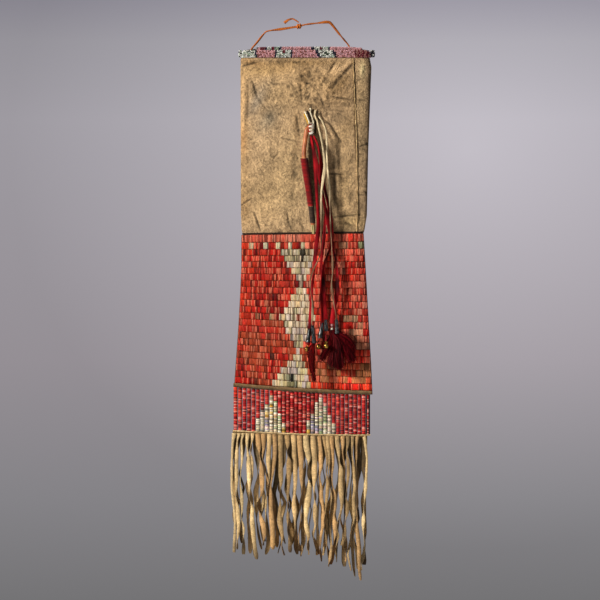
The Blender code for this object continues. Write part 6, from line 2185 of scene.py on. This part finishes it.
def room():
    """A pale floor well below the bag, and a grey ground that only the eye sees."""
    mesh = bpy.data.meshes.new("floor")
    turns = [2 * math.pi * k / 64 for k in range(64)]
    edge = [(FLOOR_RADIUS * math.cos(a), FLOOR_RADIUS * math.sin(a), FLOOR_Z) for a in turns]
    mesh.from_pydata(edge, [], [range(64)])
    pale = {"Roughness": 0.8, "Base Color": linear("#D6D4D8")}
    mesh.materials.append(blank("pale_matt_floor", pale)[0])
    floor = placed("floor", mesh)
    world = bpy.data.worlds.new("room")
    bpy.context.scene.world = world
    world.use_nodes = True
    tree = world.node_tree
    tree.nodes.clear()
    way = add(tree, "ShaderNodeTexCoord").outputs["Generated"]
    split = add(tree, "ShaderNodeSeparateXYZ", {}, {0: way})
    share = add(
        tree, "ShaderNodeMapRange", {"From Min": -0.0685, "From Max": 0.0685},
        {"Value": split.outputs[2]},
    )
    ground = ramp(
        tree, share.outputs[0],
        (
            (0.0, "#7A797B"), (0.17, "#8B898D"), (0.40, "#9C969C"), (0.80, "#A6A2A9"),
            (0.93, "#9D9AA1"), (1.0, "#8F8C96"),
        ),
    )
    glow = add(
        tree, "ShaderNodeMapping",
        {"Location": (-0.37, 0, -0.375), "Scale": (1 / 0.105, 0, 1 / 0.0914)}, {"Vector": way},
    )
    glow = add(
        tree, "ShaderNodeTexGradient", {"gradient_type": "SPHERICAL"}, {"Vector": glow.outputs[0]}
    )
    lit = worked(tree, "MULTIPLY_ADD", glow.outputs["Fac"], 0.56, 0.90)
    ground = add(
        tree, "ShaderNodeVectorMath", {"operation": "SCALE"}, {0: ground, "Scale": lit}
    ).outputs[0]
    seen = add(tree, "ShaderNodeLightPath").outputs
    either = worked(tree, "MAXIMUM", seen["Is Camera Ray"], seen["Is Transmission Ray"])
    shown = worked(tree, "MAXIMUM", either, seen["Is Glossy Ray"])
    picture = add(tree, "ShaderNodeBackground", {"Strength": 1.0}, {"Color": ground})
    light = add(tree, "ShaderNodeBackground", {"Color": linear("#F2E8DC"), "Strength": 0.075})
    mixed = add(
        tree, "ShaderNodeMixShader", {}, {0: shown, 1: light.outputs[0], 2: picture.outputs[0]}
    )
    add(tree, "ShaderNodeOutputWorld", {}, {"Surface": mixed.outputs[0]})
    aim = (0.0, 0.0, -0.38)
    lamp("key", (-2.55, -2.15, 0.85), aim, 0.66, 192, "#FFF8EE")
    lamp("fill", (1.3, -1.9, -0.1), aim, 1.4, 4, "#FFF6EA")
    lamp("back_fill", (0.6, 2.2, 0.6), aim, 1.6, 30)


def camera():
    """The camera of the picture, square on to the front of the bag."""
    middle_x, middle_z = spot(PICTURE / 2, PICTURE / 2)
    data = bpy.data.cameras.new("camera")
    data.sensor_width = 36.0
    data.lens = data.sensor_width * CAMERA_DISTANCE / (PICTURE * PIXEL)
    data.clip_end = 50
    item = placed("camera", data)
    item.location = (middle_x, -CAMERA_DISTANCE, middle_z)
    item.rotation_euler = (math.pi / 2, 0, 0)
    bpy.context.scene.camera = item
    bpy.context.scene.view_settings.view_transform = "Standard"


camera()
hanging_lace()
pendant_laces()
pendant_head()
pendant_stick()
cones()
bells()
tufts()
hide_piece()
side_seam()
bead_work()
backing()
panel_quills()
slat_wraps()
strips()
fringe("front_fringe", "fringe_front", True, HEADER_OUT - GAP - FRINGE_HIDE, -0.0034, 5)
fringe("back_fringe", "fringe_back", False, HEADER_OUT - 2 * (GAP + FRINGE_HIDE), 0.0028, 11)
carried_over()
room()

bpy.context.view_layer.update()
